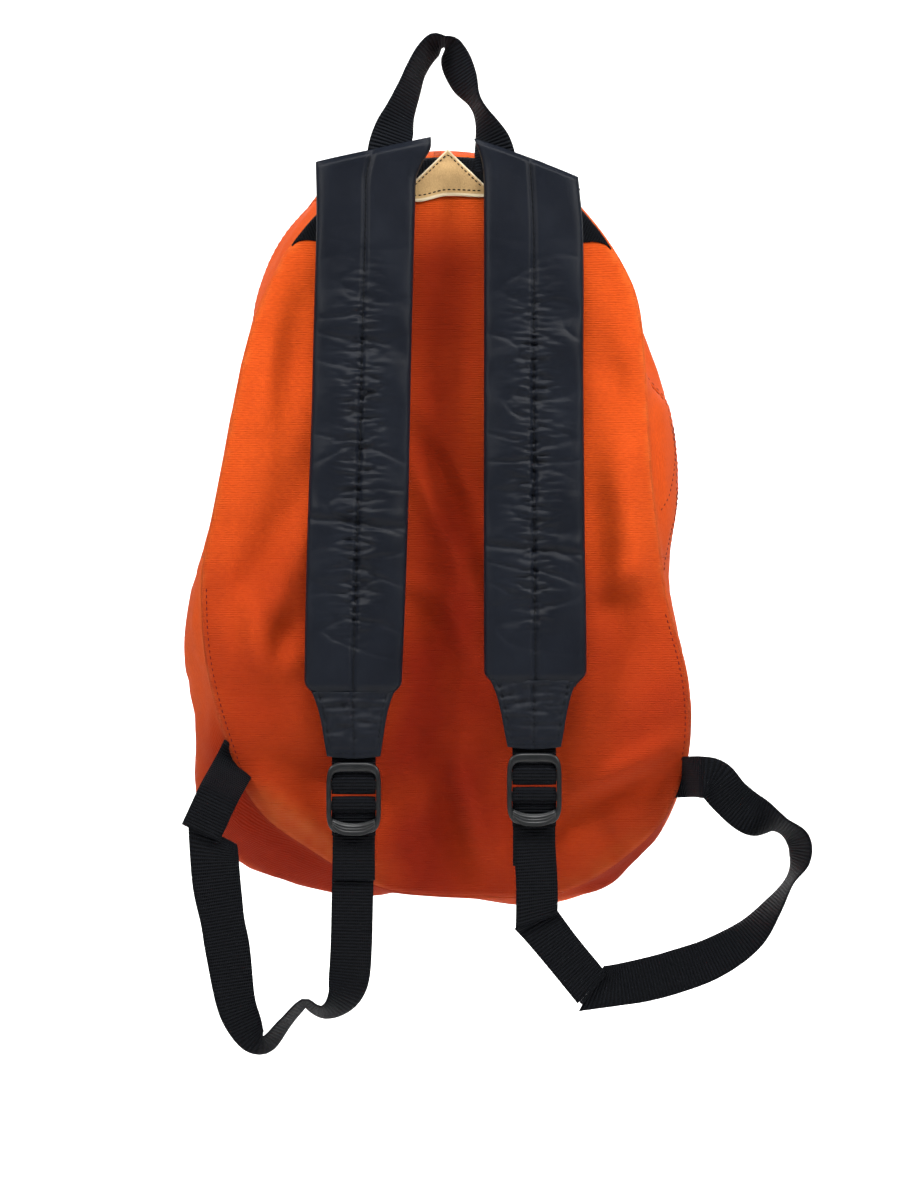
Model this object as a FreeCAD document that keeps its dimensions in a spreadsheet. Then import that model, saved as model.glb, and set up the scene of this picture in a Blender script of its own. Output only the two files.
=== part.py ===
import FreeCAD, Part
import math
import os
import re
import Sketcher

# Canvas daypack hanging by its haul handle. Frame: the origin is where a hook bears inside the
# handle, +Z is up, -Y is the shoulder strap side, +X is the right-hand side seen from the straps.
# All sizes are in millimetres. A "drop" is a distance below the origin.

SIZES = {
    # canvas shell
    "canvas": 1.5, "depth": 130.0,
    "top_radius": 116.0, "top_drop": 171.0,
    "corner_radius": 90.0, "corner_side": 65.0, "corner_drop": 422.0,
    "split_drop": 304.5, "split_gap": 1.5, "reach": 260.0,
    "binding_width": 6.0, "binding": 1.0,
    # main zip
    "zip_line": 60.0, "zip_gap": 0.5, "tape_width": 13.0, "tape": 0.8, "lap": 6.0,
    "coil_width": 2.4, "coil": 1.2,
    "slider_length": 14.0, "slider_width": 10.0, "slider_height": 3.0, "slider_lift": 1.9,
    "bail_width": 3.0, "bail_height": 3.0, "pull_length": 24.0, "pull_width": 7.0, "pull": 1.4,
    "pull_gap": 0.4,
    "left_slider_angle": 20.0, "right_slider_angle": 32.0,
    # front pocket
    "pocket_half": 122.0, "pocket_top_drop": 318.0, "pocket_floor_drop": 496.0,
    "pocket_depth": 34.0, "pocket_corner": 55.0, "pocket_zip_drop": 338.0, "pocket_zip_gap": 4.0,
    "pocket_slider_start": 96.0,
    # yoke, patch and handle
    "yoke_outer": 113.0, "yoke_inner": 96.0, "yoke_angle": 30.0, "yoke": 1.2,
    "patch_half": 19.0, "patch_middle": 5.0, "patch_apex_drop": 58.0, "patch_shoulder_drop": 75.0,
    "patch_foot_drop": 89.0, "patch": 1.6,
    "handle_foot_side": 32.0, "handle_foot_drop": 50.0, "handle_neck": 4.0, "handle": 2.0,
    "handle_top": 8.0, "handle_top_half": 13.0, "saddle_length": 14.0, "saddle": 3.0,
    # shoulder straps
    "strap_width": 60.0, "strap_thick": 12.0, "strap_gap": 2.0, "strap_top_drop": 54.0,
    "left_strap_side": 49.0, "right_strap_side": 56.0,
    "left_pad_drop": 386.0, "right_pad_drop": 380.0, "strap_round": 4.0, "cover": 1.0,
    "tab_length": 41.0, "tab_top": 50.0, "tab_foot": 32.0, "tab": 3.0,
    "stitch_width": 1.0, "stitch": 0.6,
    # webbing and ladder locks
    "web_width": 25.0, "web": 1.5,
    "lock_width": 33.0, "lock_length": 44.0, "lock_thick": 5.0, "lock_round": 5.0,
    "lock_wall": 4.0, "lock_rail": 6.5, "first_slot": 3.5, "lock_slot": 5.5, "lock_bar": 6.0,
    "bar_thick": 2.5, "lock_front": 9.5, "loop_width": 24.0, "tail_length": 27.0,
    "tab_gap": 2.5, "end_gap": 3.0, "side_tab": 22.0,
}

doc = FreeCAD.newDocument("daypack")
sheet = doc.addObject("Spreadsheet::Sheet", "dims")
for row, (alias, number) in enumerate(SIZES.items(), start=1):
    sheet.set("A%d" % row, alias)
    sheet.set("B%d" % row, str(number))
    sheet.setAlias("B%d" % row, alias)
doc.recompute()

pieces = []


def size(alias):
    """One driving dimension, read back from the sheet."""
    return float(sheet.get(alias))


def bound(text):
    """An expression in which each known word is the sheet's cell of that name."""
    return re.sub(r"[a-z_]+", lambda word: "dims." + word.group() if word.group() in SIZES
                  else word.group(), text)


def bind(target, **expressions):
    """Tie properties of an object to expressions of the sheet's cells."""
    for name, text in expressions.items():
        target.setExpression(name.replace("__", "."), bound(text))


def named(target, label):
    """Count an object as a finished sub-part."""
    target.Label = label
    pieces.append(target)
    return target


def block(label, x, y, z, length, width, height):
    """A box from its lowest corner and its extents, all expressions."""
    box = doc.addObject("Part::Box", label)
    bind(box, Length=length, Width=width, Height=height,
         Placement__Base__x=x, Placement__Base__y=y, Placement__Base__z=z)
    return box


def combine(kind, label, base, tool):
    """Part::Cut, Part::Fuse or Part::Common of two objects."""
    result = doc.addObject("Part::" + kind, label)
    result.Base = base
    result.Tool = tool
    return result


def plane_of(body, role):
    """The body's own origin plane with the given role."""
    return [item for item in body.Origin.OriginFeatures if item.Role == role][0]


def new_sketch(body, name, role="XZ_Plane"):
    """A sketch on one of the body's own planes."""
    sketch = body.newObject("Sketcher::SketchObject", name)
    sketch.AttachmentSupport = (plane_of(body, role), "")
    sketch.MapMode = "FlatFace"
    return sketch


def drive(sketch, constraint, text):
    """Add a size constraint and tie it to the sheet."""
    index = sketch.addConstraint(constraint)
    sketch.setExpression("Constraints[%d]" % index, bound(text))


def place_centre(sketch, arc, side, side_text, drop, drop_text):
    """Fix an arc's centre by its distance to the side and below the origin."""
    if side == 0:
        sketch.addConstraint(Sketcher.Constraint("PointOnObject", arc, 3, -2))
    elif side > 0:
        drive(sketch, Sketcher.Constraint("DistanceX", -1, 1, arc, 3, side), side_text)
    else:
        drive(sketch, Sketcher.Constraint("DistanceX", arc, 3, -1, 1, -side), side_text)
    drive(sketch, Sketcher.Constraint("DistanceY", arc, 3, -1, 1, drop), drop_text)


def draw_teardrop(sketch, inset):
    """The bag's outline: a wide arch, leaning sides and two round lower corners."""
    top_r = size("top_radius") - inset
    low_r = size("corner_radius") - inset
    side, drop = size("corner_side"), size("corner_drop")
    across, down = side, size("top_drop") - drop
    lean = math.acos((top_r - low_r) / math.hypot(across, down)) + math.atan2(down, across)
    up = FreeCAD.Vector(0, 0, 1)
    top_c = FreeCAD.Vector(0, -size("top_drop"), 0)
    right_c = FreeCAD.Vector(side, -drop, 0)
    left_c = FreeCAD.Vector(-side, -drop, 0)

    def on(centre, radius, angle):
        return centre + FreeCAD.Vector(radius * math.cos(angle), radius * math.sin(angle), 0)

    def arc(centre, radius, start, end):
        return Part.ArcOfCircle(Part.Circle(centre, up, radius), start, end)

    first = sketch.GeometryCount
    flat = -math.pi / 2
    sketch.addGeometry([
        arc(top_c, top_r, lean, math.pi - lean),
        Part.LineSegment(on(top_c, top_r, math.pi - lean), on(left_c, low_r, math.pi - lean)),
        arc(left_c, low_r, math.pi - lean, 2 * math.pi + flat),
        Part.LineSegment(on(left_c, low_r, flat), on(right_c, low_r, flat)),
        arc(right_c, low_r, flat, lean),
        Part.LineSegment(on(right_c, low_r, lean), on(top_c, top_r, lean)),
    ], False)
    for step in range(6):
        sketch.addConstraint(Sketcher.Constraint("Tangent", first + step, 2,
                                                 first + (step + 1) % 6, 1))
    place_centre(sketch, first, 0, "", size("top_drop"), "top_drop")
    place_centre(sketch, first + 2, -side, "corner_side", drop, "corner_drop")
    place_centre(sketch, first + 4, side, "corner_side", drop, "corner_drop")
    return first, top_r, low_r


def teardrop(label, inset_text, inset, y, depth, hole_text="", hole=0.0):
    """A plate of the bag's outline, or a band of it when a second inset is given."""
    body = doc.addObject("PartDesign::Body", label)
    sketch = new_sketch(body, label + "_outline")
    for text, gap in ((inset_text, inset), (hole_text, hole)):
        if text:
            first, top_r, low_r = draw_teardrop(sketch, gap)
            drive(sketch, Sketcher.Constraint("Radius", first, top_r), "top_radius - " + text)
            drive(sketch, Sketcher.Constraint("Radius", first + 2, low_r), "corner_radius - " + text)
            drive(sketch, Sketcher.Constraint("Radius", first + 4, low_r), "corner_radius - " + text)
    pad = body.newObject("PartDesign::Pad", label + "_pad")
    pad.Profile = sketch
    pad.Reversed = True
    bind(pad, Length=depth)
    bind(body, Placement__Base__y=y)
    doc.recompute()
    return body


def region(label, low, high, y_low="-reach", y_high="reach", x_low="-reach", x_high="reach"):
    """A box used to cut a band of the shell to a range of heights."""
    return block(label, x_low, y_low, low, "%s - (%s)" % (x_high, x_low),
                 "%s - (%s)" % (y_high, y_low), "%s - (%s)" % (high, low))


def make_shell():
    """Back panel, gusset bands, side and bottom panels and the front panel in two parts."""
    wall = size("canvas")
    named(teardrop("back_panel", "0", 0.0, "0", "canvas"), "back_panel")

    rear = teardrop("rear_band", "0", 0.0, "canvas", "zip_line - lap - canvas", "canvas", wall)
    above = region("above_split", "-split_drop", "reach")
    named(combine("Common", "gusset_rear", rear, above), "gusset_rear")

    full = teardrop("full_band", "0", 0.0, "canvas", "depth - 2 * canvas", "canvas", wall)
    for label, x_low, x_high in (("gusset_side_left", "-reach", "-corner_side"),
                                 ("bottom_panel", "-corner_side", "corner_side"),
                                 ("gusset_side_right", "corner_side", "reach")):
        part = region(label + "_region", "-2 * reach - reach", "-split_drop", x_low=x_low,
                      x_high=x_high)
        named(combine("Common", label, full, part), label)

    front = teardrop("front_plate", "0", 0.0, "depth - canvas", "canvas")
    below = region("below_split", "-2 * reach - reach", "-split_drop - split_gap")
    named(combine("Common", "front_panel_lower", front, below), "front_panel_lower")
    flap = region("flap_region", "-split_drop + split_gap", "reach")
    named(combine("Common", "front_panel_upper", front, flap), "front_panel_upper")
    band = teardrop("front_band", "0", 0.0, "zip_line + lap", "depth - canvas - zip_line - lap",
                    "canvas", wall)
    named(combine("Common", "gusset_front", band, flap), "gusset_front")
    return above, below, flap


def make_bindings(below, flap):
    """Binding tapes folded over the seam edges, inside the shell."""
    tape = size("binding")
    wall = size("canvas")
    back = teardrop("back_seam_binding", "canvas", wall, "canvas", "binding_width",
                    "(canvas + binding)", wall + tape)
    named(back, "back_seam_binding")
    front = teardrop("front_binding_band", "canvas", wall, "depth - canvas - binding_width",
                     "binding_width", "(canvas + binding)", wall + tape)
    named(combine("Common", "front_seam_binding_lower", front, below), "front_seam_binding_lower")
    named(combine("Common", "front_seam_binding_upper", front, flap), "front_seam_binding_upper")


def make_main_zip(above, flap):
    """Two tapes under the gusset edges and two coils on them, either side of the zip line."""
    wall, tape, coil = size("canvas"), size("tape"), size("coil")
    outer = "(canvas + tape)"
    rows = (("rear", "zip_line - zip_gap - tape_width", "zip_line - zip_gap - coil_width", above),
            ("front", "zip_line + zip_gap", "zip_line + zip_gap", flap))
    for name, tape_y, coil_y, part in rows:
        band = teardrop("tape_band_" + name, "canvas", wall, tape_y, "tape_width", outer,
                        wall + tape)
        named(combine("Common", "zip_tape_" + name, band, part), "zip_tape_" + name)
        ridge = teardrop("coil_band_" + name, "(canvas - coil)", wall - coil, coil_y,
                         "coil_width", "canvas", wall)
        named(combine("Common", "zip_coil_" + name, ridge, part), "zip_coil_" + name)


def make_slider(label, pull_label, angle_alias):
    """A slider body with its bail, and the pull that hangs from the bail, on the arch."""
    base = "top_radius + slider_lift"
    body = block(label + "_body", "-slider_length / 2", "zip_line - slider_width / 2", base,
                 "slider_length", "slider_width", "slider_height")
    rounded = doc.addObject("Part::Fillet", label + "_rounded")
    rounded.Base = body
    doc.recompute()
    upright = [number for number, edge in enumerate(body.Shape.Edges, start=1)
               if abs(edge.tangentAt(edge.FirstParameter).z) > 0.9]
    rounded.Edges = [(number, size("slider_height") - 0.5, size("slider_height") - 0.5)
                     for number in upright]
    bail = block(label + "_bail", "-bail_width / 2", "zip_line - bail_width / 2",
                 base + " + slider_height", "bail_width", "bail_width", "bail_height")
    whole = combine("Fuse", label, rounded, bail)
    pull_low = base + " + slider_height + bail_height + pull_gap"
    pull = block(pull_label, "0", "zip_line - pull_width / 2", pull_low,
                 "pull_length", "pull_width", "pull")
    for piece in (whole, pull):
        place_on_arch(piece, angle_alias)
        named(piece, piece.Name)


def place_on_arch(target, angle_alias):
    """Move a piece made at the top of the arch, about the arch's centre, to its angle."""
    angle = math.radians(size(angle_alias))
    turn = FreeCAD.Rotation(FreeCAD.Vector(0, 1, 0), math.degrees(angle))
    centre = FreeCAD.Vector(0, 0, -size("top_drop"))
    doc.recompute()
    if target.TypeId == "Part::Box":
        local = target.Placement.Base
        for axis in ("x", "y", "z"):
            target.setExpression("Placement.Base." + axis, None)
        target.Placement = FreeCAD.Placement(centre + turn.multVec(local), turn)
    else:
        target.Placement = FreeCAD.Placement(centre, turn)


def make_pocket():
    """Front pocket: a gusset ring, a front plate, a top strip, and the zip between them."""
    wall = size("canvas")
    ring = doc.addObject("PartDesign::Body", "pocket_gusset")
    draw_pocket(ring, "pocket_ring", (0.0, wall), ("0", "canvas"), "pocket_depth - canvas")
    bind(ring, Placement__Base__y="depth")
    named(ring, "pocket_gusset")
    plate = doc.addObject("PartDesign::Body", "pocket_plate")
    draw_pocket(plate, "pocket_face", (0.0,), ("0",), "canvas")
    bind(plate, Placement__Base__y="depth + pocket_depth - canvas")
    strip = region("strip_region", "-pocket_zip_drop + pocket_zip_gap / 2", "0")
    named(combine("Common", "pocket_top_strip", plate, strip), "pocket_top_strip")
    panel = region("panel_region", "-3 * reach", "-pocket_zip_drop - pocket_zip_gap / 2")
    named(combine("Common", "pocket_front", plate, panel), "pocket_front")

    behind = "depth + pocket_depth - canvas - tape"
    named(block("pocket_zip_tape", "-pocket_half + 2 * canvas", behind,
                "-pocket_zip_drop - tape_width / 2", "2 * (pocket_half - 2 * canvas)", "tape",
                "tape_width"), "pocket_zip_tape")
    named(block("pocket_zip_coil", "-pocket_half + 4 * canvas", "depth + pocket_depth - canvas",
                "-pocket_zip_drop - coil_width / 2", "2 * (pocket_half - 4 * canvas)",
                "coil", "coil_width"), "pocket_zip_coil")
    face = "depth + pocket_depth + 0.4"
    body = block("pocket_slider_body", "-pocket_slider_start - slider_length / 2", face,
                 "-pocket_zip_drop - slider_width / 2", "slider_length", "slider_height",
                 "slider_width")
    bail = block("pocket_slider_bail", "-pocket_slider_start - bail_width / 2",
                 face + " + slider_height", "-pocket_zip_drop - bail_width / 2", "bail_width",
                 "bail_height", "bail_width")
    named(combine("Fuse", "pocket_slider", body, bail), "pocket_slider")
    named(block("pocket_pull", "-pocket_slider_start - pull_width / 2",
                face + " + slider_height + bail_height + pull_gap",
                "-pocket_zip_drop - pull_length", "pull_width", "pull",
                "pull_length"), "pocket_pull")


def draw_pocket(body, name, insets, texts, depth):
    """The pocket's outline, square at the top and round below, with an optional inner one."""
    sketch = new_sketch(body, name)
    for inset, text in zip(insets, texts):
        half = size("pocket_half") - inset
        top = -size("pocket_top_drop") - inset
        floor = -size("pocket_floor_drop") + inset
        radius = size("pocket_corner") - inset
        up = FreeCAD.Vector(0, 0, 1)
        vector = FreeCAD.Vector
        first = sketch.GeometryCount
        left_c, right_c = vector(-half + radius, floor + radius, 0), vector(half - radius,
                                                                            floor + radius, 0)
        sketch.addGeometry([
            Part.LineSegment(vector(half, top, 0), vector(-half, top, 0)),
            Part.LineSegment(vector(-half, top, 0), vector(-half, left_c.y, 0)),
            Part.ArcOfCircle(Part.Circle(left_c, up, radius), math.pi, 1.5 * math.pi),
            Part.LineSegment(vector(left_c.x, floor, 0), vector(right_c.x, floor, 0)),
            Part.ArcOfCircle(Part.Circle(right_c, up, radius), -math.pi / 2, 0),
            Part.LineSegment(vector(half, right_c.y, 0), vector(half, top, 0)),
        ], False)
        for step in (1, 2, 3, 4):
            sketch.addConstraint(Sketcher.Constraint("Tangent", first + step, 2,
                                                     first + step + 1, 1))
        sketch.addConstraint(Sketcher.Constraint("Coincident", first, 2, first + 1, 1))
        sketch.addConstraint(Sketcher.Constraint("Coincident", first + 5, 2, first, 1))
        sketch.addConstraint(Sketcher.Constraint("Symmetric", first, 1, first, 2, -2))
        sketch.addConstraint(Sketcher.Constraint("Vertical", first + 1))
        sketch.addConstraint(Sketcher.Constraint("Vertical", first + 5))
        sketch.addConstraint(Sketcher.Constraint("Horizontal", first + 3))
        drive(sketch, Sketcher.Constraint("DistanceX", first, 2, first, 1, 2 * half),
              "2 * (pocket_half - %s)" % text)
        drive(sketch, Sketcher.Constraint("DistanceY", first, 1, -1, 1, -top),
              "pocket_top_drop + %s" % text)
        drive(sketch, Sketcher.Constraint("DistanceY", first + 3, 1, -1, 1, -floor),
              "pocket_floor_drop - %s" % text)
        for corner in (first + 2, first + 4):
            drive(sketch, Sketcher.Constraint("Radius", corner, radius), "pocket_corner - " + text)
    pad = body.newObject("PartDesign::Pad", name + "_pad")
    pad.Profile = sketch
    pad.Reversed = True
    bind(pad, Length=depth)
    doc.recompute()


def feature(label, shape, y=0.0):
    """A sub-part whose shape comes from Part's own functions, moved along Y."""
    result = doc.addObject("Part::Feature", label)
    result.Shape = shape
    result.Placement = FreeCAD.Placement(FreeCAD.Vector(0, y, 0), FreeCAD.Rotation())
    return named(result, label)


def flat_piece(points, thickness):
    """A flat sheet in the XZ plane with the given corners, its outer face at y = 0."""
    corners = [FreeCAD.Vector(x, 0, z) for x, z in points]
    wire = Part.makePolygon(corners + corners[:1])
    return Part.Face(wire).extrude(FreeCAD.Vector(0, thickness, 0))


def strip_of_webbing(route, thickness):
    """Webbing lying in the XZ plane: a slab per run and a round at each bend, as one solid.

    A run's width is what shows of the webbing from the front, so it narrows where it twists.
    """
    slabs = []
    for (x, z, width), (next_x, next_z, _) in zip(route[:-1], route[1:]):
        run = math.hypot(next_x - x, next_z - z)
        slab = Part.makeBox(run, thickness, width, FreeCAD.Vector(0, 0, -width / 2))
        pitch = -math.degrees(math.atan2(next_z - z, next_x - x))
        slab.Placement = FreeCAD.Placement(FreeCAD.Vector(x, 0, z),
                                           FreeCAD.Rotation(FreeCAD.Vector(0, 1, 0), pitch))
        slabs.append(slab)
    for before, bend in zip(route[:-2], route[1:-1]):
        radius = min(before[2], bend[2]) / 2
        slabs.append(Part.makeCylinder(radius, thickness, FreeCAD.Vector(bend[0], 0, bend[1]),
                                       FreeCAD.Vector(0, 1, 0)))
    return slabs[0].multiFuse(slabs[1:]).removeSplitter()


def make_yoke_and_patch():
    """A curved webbing band under the arch's edge, and the plain patch sewn over its middle."""
    sectors = []
    for name, radius in (("yoke_disc", "yoke_outer"), ("yoke_hole", "yoke_inner")):
        sector = doc.addObject("Part::Cylinder", name)
        upright = FreeCAD.Rotation(FreeCAD.Vector(1, 0, 0), -90)
        start = FreeCAD.Rotation(FreeCAD.Vector(0, 0, 1), size("yoke_angle") - 180)
        sector.Placement.Rotation = upright.multiply(start)
        bind(sector, Radius=radius, Height="yoke", Angle="180 - 2 * yoke_angle",
             Placement__Base__y="-yoke", Placement__Base__z="-top_drop")
        sectors.append(sector)
    named(combine("Cut", "yoke_band", *sectors), "yoke_band")

    half, middle = size("patch_half"), size("patch_middle")
    shoulder, foot = -size("patch_shoulder_drop"), -size("patch_foot_drop")
    outline = [(middle - half, foot), (middle + half, foot), (middle + half, shoulder),
               (middle, -size("patch_apex_drop")), (middle - half, shoulder)]
    feature("leather_patch", flat_piece(outline, size("patch")), -size("yoke") - size("patch"))


def make_handle():
    """One loop of webbing: two flat legs that meet over a short saddle, where a hook bears."""
    foot, drop, half_web = size("handle_foot_side"), size("handle_foot_drop"), size("web_width") / 2
    neck, top, top_half = size("handle_neck"), size("handle_top"), size("handle_top_half")
    right = [(foot + half_web, -drop), (foot - half_web, -drop), (neck, 0.0)]
    left = [(-x, z) for x, z in reversed(right)]
    crown = [(-top_half, top / 2), (-top_half / 2, top), (top_half / 2, top), (top_half, top / 2)]
    legs = flat_piece(right + left + crown, size("handle"))
    legs.translate(FreeCAD.Vector(0, -size("handle"), 0))
    length = size("saddle_length")
    saddle = Part.makeBox(length, length, size("saddle"),
                          FreeCAD.Vector(-length / 2, -(length + size("handle")) / 2, 0))
    feature("haul_handle", legs.fuse(saddle).removeSplitter())


def make_strap(name, side, pad_drop):
    """A padded strap: cover, foam core, centre stitch and tapered end tab."""
    front = "-strap_gap - strap_thick"
    outer = block("strap_outer_" + name, side + " - strap_width / 2", front, "-" + pad_drop,
                  "strap_width", "strap_thick", pad_drop + " - strap_top_drop")
    rounded = doc.addObject("Part::Fillet", "strap_rounded_" + name)
    rounded.Base = outer
    doc.recompute()
    rounded.Edges = [(number, size("strap_round"), size("strap_round"))
                     for number, edge in enumerate(outer.Shape.Edges, start=1)
                     if abs(edge.tangentAt(edge.FirstParameter).z) > 0.9]

    def core(label):
        return block(label, side + " - strap_width / 2 + strap_round", front + " + cover",
                     "-" + pad_drop + " + cover", "strap_width - 2 * strap_round",
                     "strap_thick - 2 * cover", pad_drop + " - strap_top_drop - 2 * cover")

    named(combine("Cut", "strap_cover_" + name, rounded, core("strap_hollow_" + name)),
          "strap_cover_" + name)
    named(core("strap_foam_" + name), "strap_foam_" + name)
    named(block("strap_stitch_" + name, side + " - stitch_width / 2", front + " - stitch",
                "-" + pad_drop, "stitch_width", "stitch", pad_drop + " - strap_top_drop"),
          "strap_stitch_" + name)
    middle = (-1 if name == "left" else 1) * size(name + "_strap_side")
    top = -size(pad_drop)
    end = top - size("tab_length") + size("tab_gap")
    half_top, half_end = size("tab_top") / 2, size("tab_foot") / 2
    outline = [(middle - half_top, top), (middle - half_end, end), (middle + half_end, end),
               (middle + half_top, top)]
    mid_y = -size("strap_gap") - size("strap_thick") / 2
    feature("strap_tab_" + name, flat_piece(outline, size("tab")), mid_y - size("tab") / 2)


def make_lock(name, side, pad_drop):
    """A ladder lock with two bars, the sewn loop on the first and the webbing on the second."""
    top = "-%s - tab_length" % pad_drop
    low = top + " - lock_length"
    plate = block("lock_plate_" + name, side + " - lock_width / 2", "-lock_front", low,
                  "lock_width", "lock_thick", "lock_length")
    rounded = doc.addObject("Part::Fillet", "lock_rounded_" + name)
    rounded.Base = plate
    doc.recompute()
    rounded.Edges = [(number, size("lock_round"), size("lock_round"))
                     for number, edge in enumerate(plate.Shape.Edges, start=1)
                     if abs(edge.tangentAt(edge.FirstParameter).y) > 0.9]
    opening = "first_slot + 2 * lock_bar + 2 * lock_slot"
    window = block("lock_window_" + name, side + " - lock_width / 2 + lock_wall", "-lock_front - 1",
                   "%s - lock_rail - (%s)" % (top, opening), "lock_width - 2 * lock_wall",
                   "lock_thick + 2", opening)
    frame = combine("Cut", "lock_frame_" + name, rounded, window)
    drops = ("lock_rail + first_slot + lock_bar",
             "lock_rail + first_slot + 2 * lock_bar + lock_slot")
    bar_y = "-lock_front + lock_thick / 2 - bar_thick / 2"
    bars = [block("lock_bar_%s_%d" % (name, number), side + " - lock_width / 2 + lock_wall", bar_y,
                  "%s - (%s)" % (top, drop), "lock_width - 2 * lock_wall", "bar_thick", "lock_bar")
            for number, drop in enumerate(drops)]
    both = combine("Fuse", "lock_bars_" + name, *bars)
    named(combine("Fuse", "ladder_lock_" + name, frame, both), "ladder_lock_" + name)

    def wrap(label, drop, extra_label, extra_low, extra_height, layers):
        """Webbing round one bar, with a flat stretch behind the frame."""
        x = side + " - loop_width / 2"
        outer = block(label + "_outer", x, bar_y + " - web", "%s - (%s) - web" % (top, drop),
                      "loop_width", "bar_thick + 2 * web", "lock_bar + 2 * web")
        inner = block(label + "_inner", x, bar_y, "%s - (%s)" % (top, drop), "loop_width",
                      "bar_thick", "lock_bar")
        ring = combine("Cut", label + "_ring", outer, inner)
        flat = block(extra_label, x, "-lock_front + lock_thick + 0.1", extra_low, "loop_width",
                     "%d * web" % layers, extra_height)
        return named(combine("Fuse", label, ring, flat), label)

    wrap("lock_loop_" + name, drops[0], "lock_loop_back_" + name, "%s - (%s)" % (top, drops[0]),
         drops[0] + " - 1", 1)
    wrap("webbing_end_" + name, drops[1], "webbing_tail_" + name, low + " - tail_length",
         "%s - (%s) - (%s - tail_length) + lock_bar" % (top, drops[1], low), 2)


def make_lower_webbings():
    """The two adjusting webbings, from the side seams down and round to the locks."""
    web, full = size("web"), size("web_width")
    y = -size("lock_front") + size("lock_thick") + 0.1 + web
    left, right = -size("left_strap_side"), size("right_strap_side")
    starts = {}
    for name in ("left", "right"):
        low = -size(name + "_pad_drop") - size("tab_length") - size("lock_length")
        starts[name] = low - size("tail_length") - size("end_gap")
    routes = {
        "left": [(-124, -430, full), (-145, -469, full), (-136, -505, full), (-128, -550, full),
                 (-117, -590, 12.0), (-86, -573, 10.0), (-66, -578, 14.0), (left, -560, full - 1),
                 (left, starts["left"], full - 1)],
        "right": [(143, -438, full), (162, -436, full), (203, -464, 20.0), (214, -477, 10.0),
                  (206, -500, 14.0), (190, -524, 20.0), (164, -541, full), (139, -551, full),
                  (100, -561, full), (88, -565, full - 1), (71, -540, full - 1),
                  (right, -518, full - 1), (right, starts["right"], full - 1)],
    }
    tab = size("side_tab")
    for name, route in routes.items():
        feature("lower_webbing_" + name, strip_of_webbing(route, web), y)
        x, z, _ = route[0]
        centre_x = x - math.copysign(tab / 2, x)
        corner = FreeCAD.Vector(centre_x - tab / 2, 0, z - tab / 2)
        feature("side_tab_" + name, Part.makeBox(tab, -y - web, tab, corner), y + web)
        length = sum(math.dist(a[:2], b[:2]) for a, b in zip(route[:-1], route[1:]))
        print("lower_webbing_%s free length %.0f mm" % (name, length))


def main():
    above, below, flap = make_shell()
    make_bindings(below, flap)
    make_main_zip(above, flap)
    make_slider("main_slider_left", "main_pull_left", "left_slider_angle")
    make_slider("main_slider_right", "main_pull_right", "right_slider_angle")
    make_pocket()
    make_yoke_and_patch()
    make_handle()
    for name, side in (("left", "-left_strap_side"), ("right", "right_strap_side")):
        make_strap(name, side, name + "_pad_drop")
        make_lock(name, side, name + "_pad_drop")
    make_lower_webbings()
    doc.recompute()

    failed = [item.Name for item in doc.Objects if {"Invalid", "Error"} & set(item.State)]
    failed += [piece.Label for piece in pieces if piece.Shape.isNull() or not piece.Shape.isValid()]
    if failed:
        raise RuntimeError("these did not build: " + ", ".join(failed))
    os.makedirs("parts", exist_ok=True)
    for piece in pieces:
        solids = len(piece.Shape.Solids)
        print("%-26s %d solid, %9.1f mm3" % (piece.Label, solids, piece.Shape.Volume))
        piece.Shape.exportStep(os.path.join("parts", piece.Label + ".step"))


main()
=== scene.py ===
import math

import bmesh
import bpy
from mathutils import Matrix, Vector, noise


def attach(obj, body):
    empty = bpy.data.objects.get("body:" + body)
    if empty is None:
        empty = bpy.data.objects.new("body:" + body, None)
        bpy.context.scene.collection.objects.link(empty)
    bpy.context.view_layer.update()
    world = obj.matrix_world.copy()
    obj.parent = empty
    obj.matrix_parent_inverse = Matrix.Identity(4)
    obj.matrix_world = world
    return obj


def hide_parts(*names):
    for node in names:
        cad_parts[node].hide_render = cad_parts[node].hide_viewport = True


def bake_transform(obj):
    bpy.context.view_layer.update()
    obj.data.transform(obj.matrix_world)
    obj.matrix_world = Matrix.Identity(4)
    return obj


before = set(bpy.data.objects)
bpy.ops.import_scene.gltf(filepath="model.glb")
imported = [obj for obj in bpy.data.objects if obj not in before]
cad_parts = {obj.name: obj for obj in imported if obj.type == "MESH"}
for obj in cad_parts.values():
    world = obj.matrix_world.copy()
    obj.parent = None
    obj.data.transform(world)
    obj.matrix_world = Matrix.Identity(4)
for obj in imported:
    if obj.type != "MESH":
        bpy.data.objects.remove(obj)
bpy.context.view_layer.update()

# The daypack hangs by its haul handle, straps towards -Y. The shapes below are in millimetres in
# the frame's axes and become metres when a mesh is made.
MM = 0.001


def mm(*point):
    """A point in millimetres as a vector in metres."""
    return Vector(point) * MM


def smooth(low, high, value):
    """0 below low, 1 above high, with a soft step between."""
    part = min(1.0, max(0.0, (value - low) / (high - low)))
    return part * part * (3 - 2 * part)


def bump(value, centre, width):
    """A bell of height 1 at the centre."""
    return math.exp(-((value - centre) / width) ** 2)


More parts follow.
